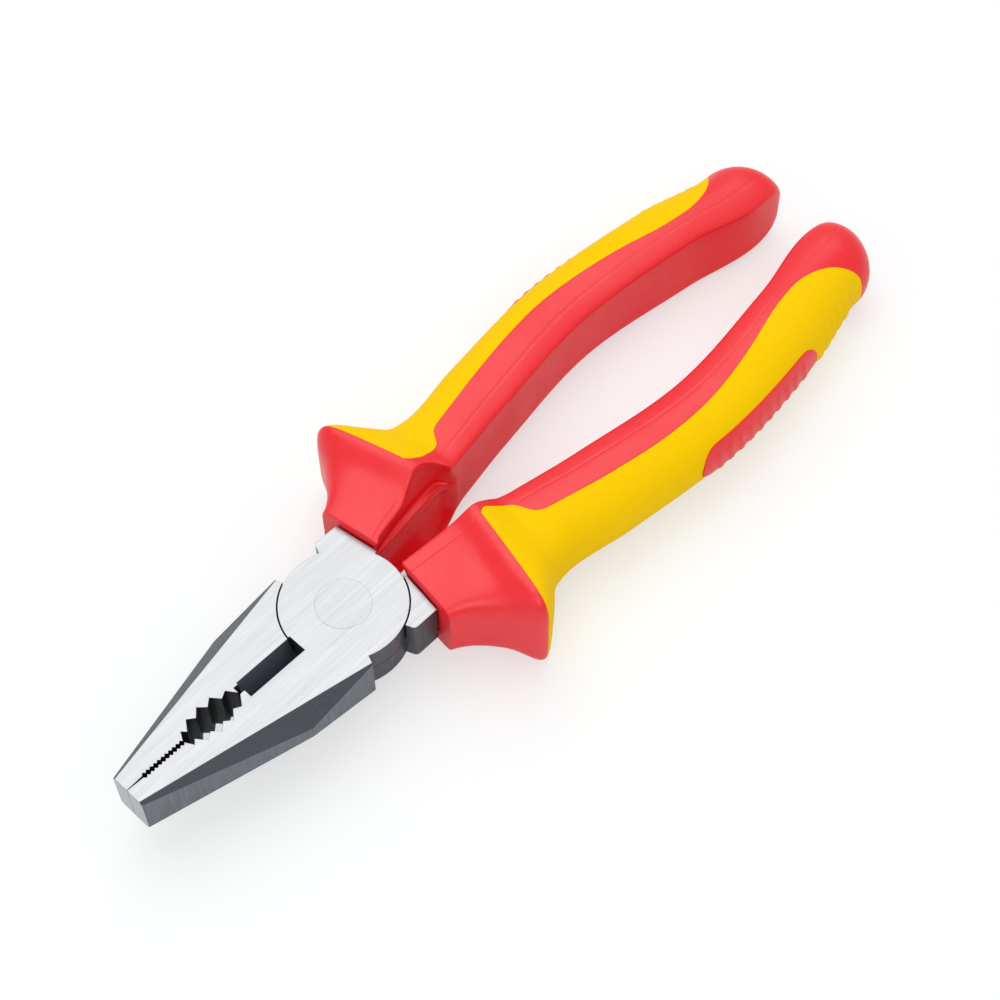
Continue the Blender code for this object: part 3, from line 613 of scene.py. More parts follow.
def rounded_corner(before, corner, after, radius, steps=6):
    """Points round a corner of an outline, in place of its sharp point."""
    corner = Vector(corner)
    first = (Vector(before) - corner).normalized()
    last = (Vector(after) - corner).normalized()
    half = first.angle(last) / 2
    reach = radius / math.tan(half)
    centre = corner + (first + last).normalized() * (radius / math.sin(half))
    start, end = corner + first * reach - centre, corner + last * reach - centre
    turn = start.angle_signed(end)
    return [tuple(centre + Matrix.Rotation(-turn * i / steps, 2) @ start) for i in range(steps + 1)]


def half_outline():
    """The plan of the upper half without its tang, anticlockwise from the nose."""
    lug_start = math.atan2(LUG_INNER, LUG_END_INNER)
    closing_angle = math.asin(TEETH_GAP / 2 / JOINT_RADIUS)
    outline = [(JAW_LENGTH, NOSE_GAP / 2), (JAW_LENGTH, NOSE_HALF_WIDTH)]
    outline += [(HIP_X, HIP_HALF_WIDTH), polar(SHOULDER_RADIUS, SHOULDER_ANGLE)]
    outline += arc(JOINT_RADIUS, SHOULDER_ANGLE, math.pi + lug_start)
    back_inner, back_outer = (-LUG_END_INNER, -LUG_INNER), (-LUG_END_OUTER, -LUG_OUTER)
    front = (LUG_OUTER / math.tan(LUG_ANGLE), -LUG_OUTER)
    disc = polar(JOINT_RADIUS, -LUG_ANGLE)
    outline += [back_inner, back_outer]
    outline += rounded_corner(back_outer, front, disc, LUG_CORNER)
    outline += arc(JOINT_RADIUS, -LUG_ANGLE, closing_angle)
    return outline + bite_outline()


def chamfer_planes():
    """Points and normals of the bevels on the jaw's outer side, upper one first."""
    shoulder = (*polar(SHOULDER_RADIUS, SHOULDER_ANGLE), HEAD_THICKNESS - SHOULDER_CHAMFER)
    nose = (JAW_LENGTH, NOSE_HALF_WIDTH, HEAD_THICKNESS - NOSE_CHAMFER)
    along = np.subtract(nose, shoulder)
    normal = np.cross((0.0, 0.0, 1.0), along)
    normal = normal / np.linalg.norm(normal)
    upper = np.array((normal[0], normal[1], 1.0))
    upper -= along * upper.dot(along) / along.dot(along)
    lower = upper * (1, 1, -1)
    return [(nose, upper), ((JAW_LENGTH, NOSE_HALF_WIDTH, NOSE_CHAMFER), lower)]


def cutter_wedge(name, top):
    """The bevel beside the cutting edge, from the head's face down to the edge."""
    start = JOINT_RADIUS - CUTTER_NOTCH
    end = pipe_hole_ends()[0] - LAND_LENGTH
    away = 1 if top else -1
    edge_y, edge_z = TEETH_GAP / 2, MID_Z + away * CUTTER_EDGE / 2
    slope = (CUTTER_HALF_WIDTH - edge_y) / (MID_Z - CUTTER_EDGE / 2)
    far_y, far_z = -CUTTER_HALF_WIDTH - CUTTER_MARGIN, MID_Z + away * (MID_Z + OVERCUT)
    section = [(edge_y, edge_z), (CUTTER_HALF_WIDTH + slope * OVERCUT, far_z)]
    section += [(far_y, far_z), (far_y, edge_z)]
    points = [(x, y, z) for x in (start, end) for y, z in section]
    return add_lofted(name, points, len(section), [HARDENED])


def rivet_profile(clearance):
    """Radius and height along the flush rivet, with a countersunk head at each face."""
    shank = RIVET_RADIUS + clearance
    head = RIVET_HEAD_RADIUS + clearance
    neck = RIVET_HEAD_DEPTH
    over = OVERCUT / 2 if clearance else 0.0
    profile = [(head, -over), (head, 0.0), (shank, neck)]
    profile += [(shank, HEAD_THICKNESS - neck), (head, HEAD_THICKNESS)]
    profile.append((head, HEAD_THICKNESS + over))
    return profile if clearance else profile[1:-1]


def turn_over(obj):
    """Turns a mesh over about the long axis at mid-height."""
    lift = Matrix.Translation((0, 0, HEAD_THICKNESS))
    obj.data.transform(lift @ Matrix.Diagonal((1, -1, -1, 1)))


def finish_of(face):
    """The finish of a face of the forging: ground on the broad faces and the nose, a darker
    copy of the blackened steel as painted shade on the jaw's bite, and a lighter copy as a
    painted reflection on the jaw's outer sides.
    """
    normal = face.normal
    on_jaw = face.center.x > JOINT_RADIUS + SEAT_GAP
    at_nose = normal.x > 0.99 and face.center.x > JAW_LENGTH - TOLERANCE
    if abs(normal.z) > 0.99 or at_nose:
        return STEEL
    # Painted shade: the bite's faces get the darker copy of the blackened steel.
    if on_jaw and normal.y < -0.05:
        return TEETH_PAINTED_SHADE
    # Painted reflection: the jaw's outer sides get the lighter copy of the blackened steel.
    if on_jaw and normal.y > 0.05 and abs(normal.z) < 0.01:
        return FLANKS_PAINTED_REFLECTION
    return BLACK


def land_relief(name):
    """The tool that sets back one half's land between the cutter and the pipe hole."""
    start, end = (pipe_hole_ends()[0] + reach for reach in (-LAND_LENGTH, LAND_OVERLAP))
    outline = [(start, -OVERCUT / 2), (end, -OVERCUT / 2), (end, LAND_RELIEF)]
    outline.append((start, LAND_RELIEF))
    return add_prism(name, outline, -OVERCUT, HEAD_THICKNESS + OVERCUT, [BLACK])


def build_half(name, flip):
    """One forged half. It is drawn as the upper half, and turned over for the lower."""
    finishes = [STEEL, BLACK, TEETH_PAINTED_SHADE, FLANKS_PAINTED_REFLECTION]
    body = add_prism(name + "_blank", half_outline(), 0.0, HEAD_THICKNESS, finishes)
    for point, normal in chamfer_planes():
        trim(body, point, normal)
    for face in body.data.polygons:
        face.material_index = finishes.index(finish_of(face))
    lap = [(JOINT_RADIUS + SEAT_GAP, z) for z in (-OVERCUT, MID_Z + LAP_GAP / 2)]
    tools = [
        add_turned(name + "_lap_recess", lap, LAP_SIDES, [BLACK]),
        cutter_wedge(name + "_cutter_bevel_top", True),
        cutter_wedge(name + "_cutter_bevel_bottom", False),
        add_turned(name + "_rivet_hole", rivet_profile(RIVET_GAP), RIVET_SIDES, [BLACK]),
    ]
    if flip:
        tools.append(land_relief(name + "_land_relief"))
    shaft = tang(name + "_tang", -1, 0.0)
    if flip:
        for item in [body, shaft] + tools:
            turn_over(item)
    body.name = name
    for tool in tools:
        combine(body, tool, "DIFFERENCE")
    combine(body, shaft, "UNION")
    settle(body, tools + [shaft])
    soften_edges(body, STEEL_EDGE, STEEL_TURN)
    return body


# ---------- grip

# The mouth's front face lies parallel to the back of the lug, a gap behind it.
MOUTH_SLOPE = (LUG_END_INNER - LUG_END_OUTER) / (LUG_OUTER - LUG_INNER)
MOUTH_MIDDLE = (MOUTH_INNER + MOUTH_OUTER) / 2
MOUTH_GAP = 0.3 * MM
GRIP_MOUTH = LUG_END_INNER + MOUTH_GAP - MOUTH_SLOPE * (MOUTH_MIDDLE - LUG_INNER)
MOUTH_LEAN = MOUTH_SLOPE * (MOUTH_OUTER - MOUTH_INNER)
MOUTH_HALF_HEIGHT = MID_Z + MOUTH_WALL

# The guard grows from the mouth to the rim, and falls to the neck behind it.
FLARE = between(GRIP_MOUTH, GRIP_RIM, 0.22)
BROW = between(GRIP_MOUTH, GRIP_RIM, 0.52)
CREST = between(GRIP_MOUTH, GRIP_RIM, 0.75)
LIP = between(GRIP_MOUTH, GRIP_RIM, 0.9)
FALL = between(GRIP_RIM, GRIP_NECK, 0.4)
SETTLE = between(GRIP_RIM, GRIP_NECK, 0.72)
WRIST = between(GRIP_NECK, GRIP_PALM, 0.35)

PLACES = [GRIP_MOUTH, FLARE, BROW, CREST, LIP, GRIP_RIM, FALL, SETTLE]
PLACES += [GRIP_NECK, WRIST, GRIP_PALM, GRIP_HEEL, GRIP_CAP]


def guard_column(mouth, rim, neck, rising, falling):
    """Values from mouth to neck, from the shares of the rise and the fall on the way."""
    up = [between(mouth, rim, share) for share in (0.0, *rising, 1.0)]
    return up + [between(rim, neck, share) for share in (*falling, 1.0)]


INNER = guard_column(
    MOUTH_INNER, RIM_INNER, NECK_INNER, rising=(0.2, 0.5, 0.72, 0.92), falling=(0.32, 0.65)
)
INNER += [between(NECK_INNER, PALM_INNER, 0.44), PALM_INNER, HEEL_INNER, CAP_INNER]
OUTER = guard_column(
    MOUTH_OUTER, RIM_OUTER, NECK_OUTER, rising=(0.09, 0.36, 0.66, 0.91), falling=(0.44, 0.95)
)
OUTER += [between(NECK_OUTER, PALM_OUTER, 0.48), PALM_OUTER, HEEL_OUTER, CAP_OUTER]
HEIGHT = guard_column(
    MOUTH_HALF_HEIGHT,
    RIM_HALF_HEIGHT,
    NECK_HALF_HEIGHT,
    rising=(0.13, 0.33, 0.54, 0.89),
    falling=(0.52, 1.0),
)
HEIGHT += [between(NECK_HALF_HEIGHT, PALM_HALF_HEIGHT, 0.9)]
HEIGHT += [PALM_HALF_HEIGHT, HEEL_HALF_HEIGHT, CAP_HALF_HEIGHT]
LEAN = guard_column(
    MOUTH_LEAN, RIM_LEAN, 0.0, rising=(0.3, 0.66, 0.87, 0.98), falling=(0.3, 0.7)
)
LEAN += [0.0, 0.0, 0.0, 0.0]
# How square the outer side is (2 is an ellipse), and how high the inner crease lies
SQUARE = [8.0, 6.2, 4.4, 4.0, 4.8, 6.2, 3.4, 2.7, 2.4, 2.2, 2.1, 2.1, 2.1]
CREASE = guard_column(0.97, 0.94, 0.87, rising=(0.3, 0.6, 0.8, 0.95), falling=(0.3, 0.7))
CREASE += [0.85, 0.82, 0.84, 0.82]

FINE_STEP = 0.2 * MM
FINE_PLACES = np.arange(GRIP_MOUTH, GRIP_CAP + FINE_STEP, FINE_STEP)


def softened(column, reach=LENGTH_SOFTENING):
    """A column as fine values along the grip, with the kinks between its stations eased."""
    values = np.array([smooth(place, PLACES, column) for place in FINE_PLACES])
    steps = np.arange(-4 * reach, 4 * reach + FINE_STEP / 2, FINE_STEP)
    weights = np.exp(-0.5 * (steps / reach) ** 2)
    padded = np.pad(values, len(steps) // 2, mode="reflect", reflect_type="odd")
    return np.convolve(padded, weights / weights.sum(), mode="valid")


COLUMNS = [softened(column) for column in (INNER, OUTER, HEIGHT, LEAN, SQUARE, CREASE)]


def shrink(turn, power):
    """What is left of a size part of the way round the grip's rounded end."""
    return (1 - turn ** power) ** (1 / power)


def shape_at(place):
    """Inner and outer side, half height, lean, squareness and crease of a section. Past
    the cap's start they shrink along a rounded curve to the grip's end."""
    inner, outer, height, lean, power, crease = (
        float(np.interp(place, FINE_PLACES, column)) for column in COLUMNS
    )
    if place > GRIP_CAP:
        turn = min(1.0, (place - GRIP_CAP) / (GRIP_END - GRIP_CAP))
        tip = between(inner, outer, TAIL_TIP_SHARE)
        inner = between(tip, inner, shrink(turn, TAIL_INNER_POWER))
        outer = between(tip, outer, shrink(turn, TAIL_OUTER_POWER))
        height *= shrink(turn, TAIL_POWER)
        crease = between(0.5, crease, shrink(turn, TAIL_POWER))
    return inner, outer, height, lean, power, crease


# The open hollow ends behind the rim in a rounded arch, and both run out where the
# guard has settled. A shelf on each side of the rib meets the hollow's wall.
ARCH_START = GRIP_RIM + 0.9 * MM
ARCH_END = GRIP_RIM + 5.3 * MM
HOLLOW_PLACES = [GRIP_MOUTH, GRIP_MOUTH + 1.3 * MM, BROW, CREST, GRIP_RIM]
HOLLOW_EDGES = [3.6 * MM, 4.35 * MM, 5.5 * MM, 7.1 * MM, OPEN_EDGE_RIM]
WALL_RISES = [0.0, 0.02, 0.08, 0.45, 0.75, 1.0]
WALL_DEPTHS = [0.0, 0.85, 1.0, 0.95, 0.6, 0.0]
CLOSED_WALL_RISES = [0.0, 0.07, 0.22, 0.5, 0.8, 1.0]
CLOSED_WALL_DEPTHS = [0.0, 0.4, 0.9, 1.0, 0.6, 0.0]


def hollow_at(place, is_open):
    """The rib's and the edge's distance off the axis, the depth, and how far they show."""
    inner, *_ = shape_at(place)
    rib = between(RIB_START, RIB_END, min(1.0, (place - GRIP_MOUTH) / (SETTLE - GRIP_MOUTH)))
    depth = HOLLOW_DEPTH * smooth(place, [GRIP_MOUTH, BROW, FALL, SETTLE], [0.5, 1.0, 1.0, 0.0])
    share = smooth(place, [GRIP_RIM, FALL, SETTLE], [1.0, 0.85, 0.0])
    edge = inner
    if is_open:
        turn = min(1.0, max(0.0, (place - ARCH_START) / (ARCH_END - ARCH_START)))
        edge = smooth(place, HOLLOW_PLACES, HOLLOW_EDGES)
        edge = between(inner, edge, math.sqrt(1 - turn * turn))
    return rib, edge, depth, share


# Where the crown peaks between the sides, and how fast it rises to there from the crease
CROWN_PEAK = 0.46
CROWN_POWER = 2.2

CURVE_STEPS = 90
WALL_TURNS = np.linspace(0, 1, 400)
OPEN_WALL = [smooth(turn, WALL_RISES, WALL_DEPTHS) for turn in WALL_TURNS]
CLOSED_WALL = [smooth(turn, CLOSED_WALL_RISES, CLOSED_WALL_DEPTHS) for turn in WALL_TURNS]
CURVE_SHARES = np.arange(1, CURVE_STEPS + 1) / CURVE_STEPS


def half_section(place, is_open):
    """Half of a section as fine points (off axis, away from the mid-plane) from the inner
    to the outer side, with the run along them and the crease's number."""
    inner, outer, height, _, power, crease = shape_at(place)
    middle = between(inner, outer, CROWN_PEAK)
    rib, edge, depth, share = hollow_at(place, is_open)
    foot = between(inner, rib, share)
    low = min(RIB_OPEN_SIDE if is_open else RIB_CLOSED_SIDE, 0.3 * height)
    lip = between(1.0, LIP_HEIGHT_SHARE, share)
    if is_open:
        lip = smooth(place, [GRIP_RIM, FALL, SETTLE], [1.0, 0.9, 0.5])
    t = np.concatenate([[0.0], CURVE_SHARES])
    turn = np.minimum(1.0, t / lip)
    wall = OPEN_WALL if is_open else CLOSED_WALL
    hollow = between(foot, edge, turn) + depth * np.interp(turn, WALL_TURNS, wall)
    side = np.stack([hollow, between(low, crease * height, t)], axis=1)
    t = CURVE_SHARES
    crown = height * (1 - (1 - crease) * (1 - t) ** CROWN_POWER)
    top = np.stack([between(edge, middle, t), crown], axis=1)
    angle = math.pi / 2 * (1 - t)
    across = np.clip(np.cos(angle), 0, 1) ** (2 / power)
    rise = np.clip(np.sin(angle), 0, 1) ** (2 / power)
    back = np.stack([between(middle, outer, across), height * rise], axis=1)
    points = np.concatenate([[(foot, 0.0)], side, top, back])
    run = np.concatenate([[0.0], np.cumsum(np.linalg.norm(np.diff(points, axis=0), axis=1))])
    return points, run, len(side)


# How far out the cover starts on the closed and on the open broad face, as shares of the
# grip's width. Each row gives them at a share of the way from one place to the next. Ahead
# of the cover the same line divides the guard's faces.
COVER_BROW = COVER_START + 1.8 * MM
COVER_STRETCHES = (
    (GRIP_MOUTH, BROW, ((0.0, 0.34, 0.42),)),
    (BROW, CREST, ((0.5, 0.3, 0.36),)),
    (COVER_START, COVER_BROW, ((0.0, 0.105, 0.285), (0.5, 0.075, 0.25), (1.0, 0.065, 0.239))),
    (COVER_START, FALL, ((0.7, 0.08, 0.233), (1.0, 0.1, 0.238))),
    (FALL, SETTLE, ((0.5, 0.125, 0.262), (0.85, 0.15, 0.285))),
    (SETTLE, GRIP_NECK, ((0.15, 0.18, 0.295), (0.4, 0.215, 0.315), (0.6, 0.29, 0.36))),
    (SETTLE, GRIP_NECK, ((0.8, 0.385, 0.428), (1.0, 0.435, 0.468))),
    (GRIP_NECK, WRIST, ((0.08, 0.475, 0.5), (0.3, 0.497, 0.516), (0.8, 0.512, 0.533))),
    (WRIST, GRIP_PALM, ((0.1, 0.53, 0.554), (0.4, 0.543, 0.572), (0.65, 0.53, 0.571))),
    (GRIP_PALM, GRIP_HEEL, ((0.0, 0.49, 0.54), (0.5, 0.405, 0.475), (1.0, 0.31, 0.385))),
    (GRIP_HEEL, COVER_END, ((0.2, 0.32, 0.4), (0.37, 0.37, 0.445), (0.53, 0.46, 0.525))),
    (GRIP_HEEL, COVER_END, ((0.7, 0.58, 0.625), (0.87, 0.75, 0.795), (0.96, 0.865, 0.885))),
    (GRIP_HEEL, COVER_END, ((1.0, 0.94, 0.95),)),
)
COVER_ROWS = [
    (between(start, end, along), closed, opened)
    for start, end, rows in COVER_STRETCHES
    for along, closed, opened in rows
]
COVER_PLACES, COVER_SHARES, OPEN_COVER_SHARES = zip(*COVER_ROWS)
SEAM_PLACES = [GRIP_MOUTH, GRIP_RIM, GRIP_NECK, GRIP_PALM, GRIP_HEEL, GRIP_CAP]
SEAM_SHARES = [0.20, 0.14, 0.20, 0.25, 0.27, 0.33]


def cover_edge(place, is_open):
    """How far off the axis the cover starts on one of the grip's broad faces."""
    inner, outer, *_ = shape_at(place)
    shares = OPEN_COVER_SHARES if is_open else COVER_SHARES
    easing = between(COVER_FRONT_EASING, COVER_EASING, float(fade(place, GRIP_NECK, WRIST)))
    reach = max(0.0, min(easing, place - COVER_START, COVER_END - place))
    near = [smooth(place + reach * (i / 4 - 1), COVER_PLACES, shares) for i in range(9)]
    return between(inner, outer, sum(near) / len(near))


def badge_edge(place, is_open):
    """How far the badge reaches from the mid-plane on the grip's outer side: a stadium."""
    straight = (BADGE_END - BADGE_START) / 2 - BADGE_HALF_HEIGHT
    beyond = abs(place - (BADGE_START + BADGE_END) / 2) - straight
    turn = min(1.0, max(0.0, beyond / BADGE_HALF_HEIGHT))
    reach = BADGE_OPEN_HALF_HEIGHT if is_open else BADGE_HALF_HEIGHT
    return reach * max(0.12, math.sqrt(1 - turn * turn))


# Steps round half a section: hollow, crown to the seam, the seam's two sides, crown on to
# the cover, cover, and badge. The hollow's steps crowd towards the rib.
SPANS = (40, 6, 1, 1, 10, 34, 14)
HOLLOW_CROWDING = 1.7
HALF_RING = sum(SPANS)
RING = 2 * HALF_RING
SEAM_LINE = sum(SPANS[:3])
COVER_FIRST = sum(SPANS[:5])
BADGE_FIRST = sum(SPANS[:6])


def half_lines(place, is_open, gap):
    """The run at which each step line of half a section lies, and how deep the seam is."""
    points, run, corner = half_section(place, is_open)
    crest = corner + int(np.argmax(points[corner:, 1]))
    whole = run[-1]
    inner, outer, *_ = shape_at(place)
    edge = np.interp(cover_edge(place, is_open), points[corner:, 0], run[corner:]) + gap
    badge = np.interp(-badge_edge(place, is_open), -points[crest:, 1], run[crest:]) - gap
    # Every line keeps clear of its neighbours by a share of the run, so that none cross.
    edge = min(max(edge, run[corner] + 0.02 * whole), 0.9 * whole)
    badge = min(max(badge, edge + 0.03 * whole), 0.97 * whole)
    room = edge - run[corner]
    off_axis = between(inner, outer, smooth(place, SEAM_PLACES, SEAM_SHARES))
    seam = np.interp(off_axis, points[corner:, 0], run[corner:])
    margin = min(edge - seam, seam - run[corner]) - SEAM_CLEARANCE
    deepest = between(SEAM_MOUTH_DEPTH, SEAM_DEPTH, float(fade(place, BROW, GRIP_NECK)))
    depth = deepest * float(fade(margin, 0.0, SEAM_FADE))
    seam = min(max(seam, run[corner] + 0.3 * room), edge - 0.3 * room)
    width = min(SEAM_HALF_WIDTH, 0.2 * room)
    stops = [0.0, run[corner], seam - width, seam, seam + width, edge, badge, whole]
    spots = [stops[1] * (k / SPANS[0]) ** HOLLOW_CROWDING for k in range(SPANS[0] + 1)]
    for low, high, count in zip(stops[1:], stops[2:], SPANS[1:]):
        spots += [between(low, high, (k + 1) / count) for k in range(count)]
    return points, np.array(spots), run, depth


LOOP_STEPS = 720


def grip_ring(place, gap=0.0):
    """One whole section: its points in the section plane, their outward normals, the
    section's lean and width, and the seam's depth at each point."""
    inner, outer, _, lean, _, _ = shape_at(place)
    over, over_spots, over_run, over_seam = half_lines(place, True, gap)
    under, under_spots, under_run, under_seam = half_lines(place, False, gap)
    fine = np.concatenate([over, under[-2::-1] * (1, -1)])
    total = over_run[-1] + under_run[-1]
    run = np.concatenate([over_run, total - under_run[-2::-1]])
    even = np.arange(LOOP_STEPS) * total / LOOP_STEPS
    loop = np.stack([np.interp(even, run, fine[:, axis]) for axis in (0, 1)], axis=1)
    turn = float(fade(place, GRIP_CAP, GRIP_END - 1.0 * MM))
    reach = between(CORNER_SOFTENING, TAIL_SOFTENING, turn) * min(1.0, total / FULL_ROUND)
    reach *= LOOP_STEPS / total
    steps = np.arange(LOOP_STEPS)
    steps = np.minimum(steps, LOOP_STEPS - steps)
    weights = np.exp(-0.5 * (steps / reach) ** 2)
    weights /= weights.sum()
    spectrum = np.fft.fft(weights)[:, None]
    loop = np.fft.ifft(np.fft.fft(loop, axis=0) * spectrum, axis=0).real
    tangent = np.roll(loop, -1, axis=0) - np.roll(loop, 1, axis=0)
    tangent /= np.linalg.norm(tangent, axis=1, keepdims=True)
    normal = np.stack([-tangent[:, 1], tangent[:, 0]], axis=1)
    spots = np.concatenate([over_spots, total - under_spots[-2:0:-1]])
    flat, out = (
        np.stack([np.interp(spots, even, table[:, axis], period=total) for axis in (0, 1)], axis=1)
        for table in (loop, normal)
    )
    seam = np.zeros(RING)
    seam[SEAM_LINE] = over_seam
    seam[RING - SEAM_LINE] = under_seam
    return flat, out, lean, inner, max(outer - inner, TOLERANCE), seam


def ripple(place, z):
    """How far the cover's ripples stand out at a place and at heights off the mid-plane."""
    phase = (place - RIPPLE_START) / RIPPLE_PITCH
    if not 0 < phase < RIPPLES:
        return 0.0
    wave = 0.5 - 0.5 * math.cos(2 * math.pi * phase)
    end = 1 - fade(np.abs(z), 0.45 * RIPPLE_HALF_HEIGHT, RIPPLE_HALF_HEIGHT)
    return RIPPLE_RISE * wave * end


def bars(place, z):
    """How far the plain slanted bars stand out of the badge."""
    number = (place - BAR_SLANT * z - BAR_START) / BAR_PITCH
    nearest = np.clip(np.round(number), 0, BARS - 1)
    across = np.abs(number - nearest) * BAR_PITCH
    rise = BAR_RISE
    for offset, reach in ((across, BAR_HALF_WIDTH), (np.abs(z), BAR_HALF_HEIGHT)):
        rise = rise * (1 - fade(offset, reach - BAR_FLANK / 2, reach + BAR_FLANK / 2))
    return rise


def spread(start, end, step):
    """Even places from just after the start to the end, about a step apart."""
    count = max(1, round((end - start) / step))
    return [between(start, end, (i + 1) / count) for i in range(count)]


def grip_places(gap=0.0):
    """Where the sections lie from the cover's front to its end, and the numbers of the
    sections where the badge starts and ends."""
    start, end = COVER_START + gap, COVER_END - gap
    low, high = BADGE_START - gap, BADGE_END + gap
    places = [start, *spread(start, GRIP_NECK, WAIST_STEP), *spread(GRIP_NECK, low, PALM_STEP)]
    badge_low = len(places) - 1
    stops = [low, low + BADGE_HALF_HEIGHT, high - BADGE_HALF_HEIGHT, high]
    for first, last in zip(stops, stops[1:]):
        places += spread(first, last, BADGE_STEP)
    badge_high = len(places) - 1
    places += spread(high, end, RIPPLE_STEP)
    return places, badge_low, badge_high


class Shell:
    """Points and faces of a grip solid, with rings kept by name and section number. The
    side is -1 for the upper half's grip, and 1 for the lower half's, which is turned over."""

    def __init__(self, side):
        self.side = side
        self.points = []
        self.faces = []
        self.rings = {}

    def add_ring(self, key, place, section, inset=0.0, share=1.0, relief=None):
        """Adds a section moved out by the inset and by the relief, and shrunk to a share."""
        flat, out, lean, inner, width, seam = section
        push = inset - (seam if relief is None else 0.0)
        if relief is not None:
            push = push + relief(place, flat[:, 1])
        flat = flat + out * np.broadcast_to(push, (RING,))[:, None]
        flat = flat.mean(axis=0) + (flat - flat.mean(axis=0)) * share
        x = -place + lean * ((flat[:, 0] - inner) / width - 0.5)
        first = len(self.points)
        y, z = self.side * flat[:, 0], MID_Z - self.side * flat[:, 1]
        self.points += list(zip(x.tolist(), y.tolist(), z.tolist()))
        self.rings[key] = list(range(first, first + RING))

    def quad(self, a, i, b, j, k):
        """The face between steps k and k + 1 of two rings."""
        low, high = self.rings[a, i], self.rings[b, j]
        n = (k + 1) % RING
        self.faces.append((low[k], low[n], high[n], high[k]))

    def surround(self, a, b, line, low, high):
        """Walls between two skins all round a patch, which lies between two sections, and
        between a step line and its mirror image on the other broad face."""
        for k in range(line, RING - line):
            self.quad(a, low, b, low, k)
            self.quad(a, high, b, high, k)
        for i in range(low, high):
            corners = (self.rings[key] for key in ((a, i), (a, i + 1), (b, i + 1), (b, i)))
            near, far = zip(*((ring[line], ring[RING - line]) for ring in corners))
            self.faces += [near, far]

    def finish(self, name, material):
        """The shell as an object, without the points that no face uses."""
        used = sorted({index for face in self.faces for index in face})
        renumber = {index: i for i, index in enumerate(used)}
        points = [self.points[index] for index in used]
        faces = [[renumber[index] for index in face] for face in self.faces]
        return add_object(name, points, faces, [material])


# Setback and shrinkage of the rings that round the edge of the sleeve's mouth
MOUTH_ROUNDING = ((0.0, 0.035), (0.06 * MM, 0.016), (0.18 * MM, 0.003), (0.35 * MM, 0.0))


def within(line, k):
    """Whether step k lies between a step line and its mirror image."""
    return line <= k < RING - line


def build_sleeve(name, side):
    """The hard sleeve: guard, broad window sunk for the cover, badge and rounded tail."""
    places, badge_low, badge_high = grip_places()
    last = len(places) - 1
    shell = Shell(side)
    mouth = grip_ring(GRIP_MOUTH)
    for i, (back, shrunk) in enumerate(MOUTH_ROUNDING):
        shell.add_ring(("front", i), GRIP_MOUTH + back, mouth, share=1 - shrunk)
    front = len(MOUTH_ROUNDING)
    guard_start, guard_end = GRIP_MOUTH + MOUTH_ROUNDING[-1][0], COVER_START - GUARD_LAST_GAP
    for place in spread(guard_start, guard_end, GUARD_STEP):
        shell.add_ring(("front", front), place, grip_ring(place))
        front += 1
    for i, place in enumerate(places):
        section = grip_ring(place)
        shell.add_ring(("skin", i), place, section)
        shell.add_ring(("floor", i), place, section, inset=-COVER_DEPTH)
        if badge_low <= i <= badge_high:
            shell.add_ring(("badge", i), place, section, inset=BADGE_RISE, relief=bars)
    first = math.asin((COVER_END - GRIP_CAP) / (GRIP_END - GRIP_CAP))
    turns = spread(first, TAIL_LAST_TURN, TAIL_STEP)
    tail = [between(GRIP_CAP, GRIP_END, math.sin(turn)) for turn in turns]
    for i, place in enumerate(tail):
        shell.add_ring(("tail", i), place, grip_ring(place))
    shell.faces.append(shell.rings["front", 0][::-1])
    shell.faces.append(shell.rings["tail", len(tail) - 1])
    for k in range(RING):
        for i in range(front - 1):
            shell.quad("front", i, "front", i + 1, k)
        shell.quad("front", front - 1, "skin", 0, k)
        shell.quad("skin", last, "tail", 0, k)
        for i in range(len(tail) - 1):
            shell.quad("tail", i, "tail", i + 1, k)
        for i in range(last):
            raised = within(BADGE_FIRST, k) and badge_low <= i < badge_high
            skin = "badge" if raised else "floor" if within(COVER_FIRST, k) else "skin"
            shell.quad(skin, i, skin, i + 1, k)
    shell.surround("skin", "floor", COVER_FIRST, 0, last)
    shell.surround("floor", "badge", BADGE_FIRST, badge_low, badge_high)
    return shell.finish(name, RED)


def build_cover(name, side):
    """The soft cover that lies in the sleeve's window, with a hole round the badge."""
    places, badge_low, badge_high = grip_places(COVER_GAP)
    last = len(places) - 1
    shell = Shell(side)
    for i, place in enumerate(places):
        section = grip_ring(place, COVER_GAP)
        shell.add_ring(("skin", i), place, section, relief=ripple)
        shell.add_ring(("floor", i), place, section, inset=COVER_GAP - COVER_DEPTH)
    for k in range(COVER_FIRST, RING - COVER_FIRST):
        for i in range(last):
            if not (within(BADGE_FIRST, k) and badge_low <= i < badge_high):
                shell.quad("skin", i, "skin", i + 1, k)
                shell.quad("floor", i, "floor", i + 1, k)
    shell.surround("skin", "floor", COVER_FIRST, 0, last)
    shell.surround("skin", "floor", BADGE_FIRST, badge_low, badge_high)
    return shell.finish(name, YELLOW)


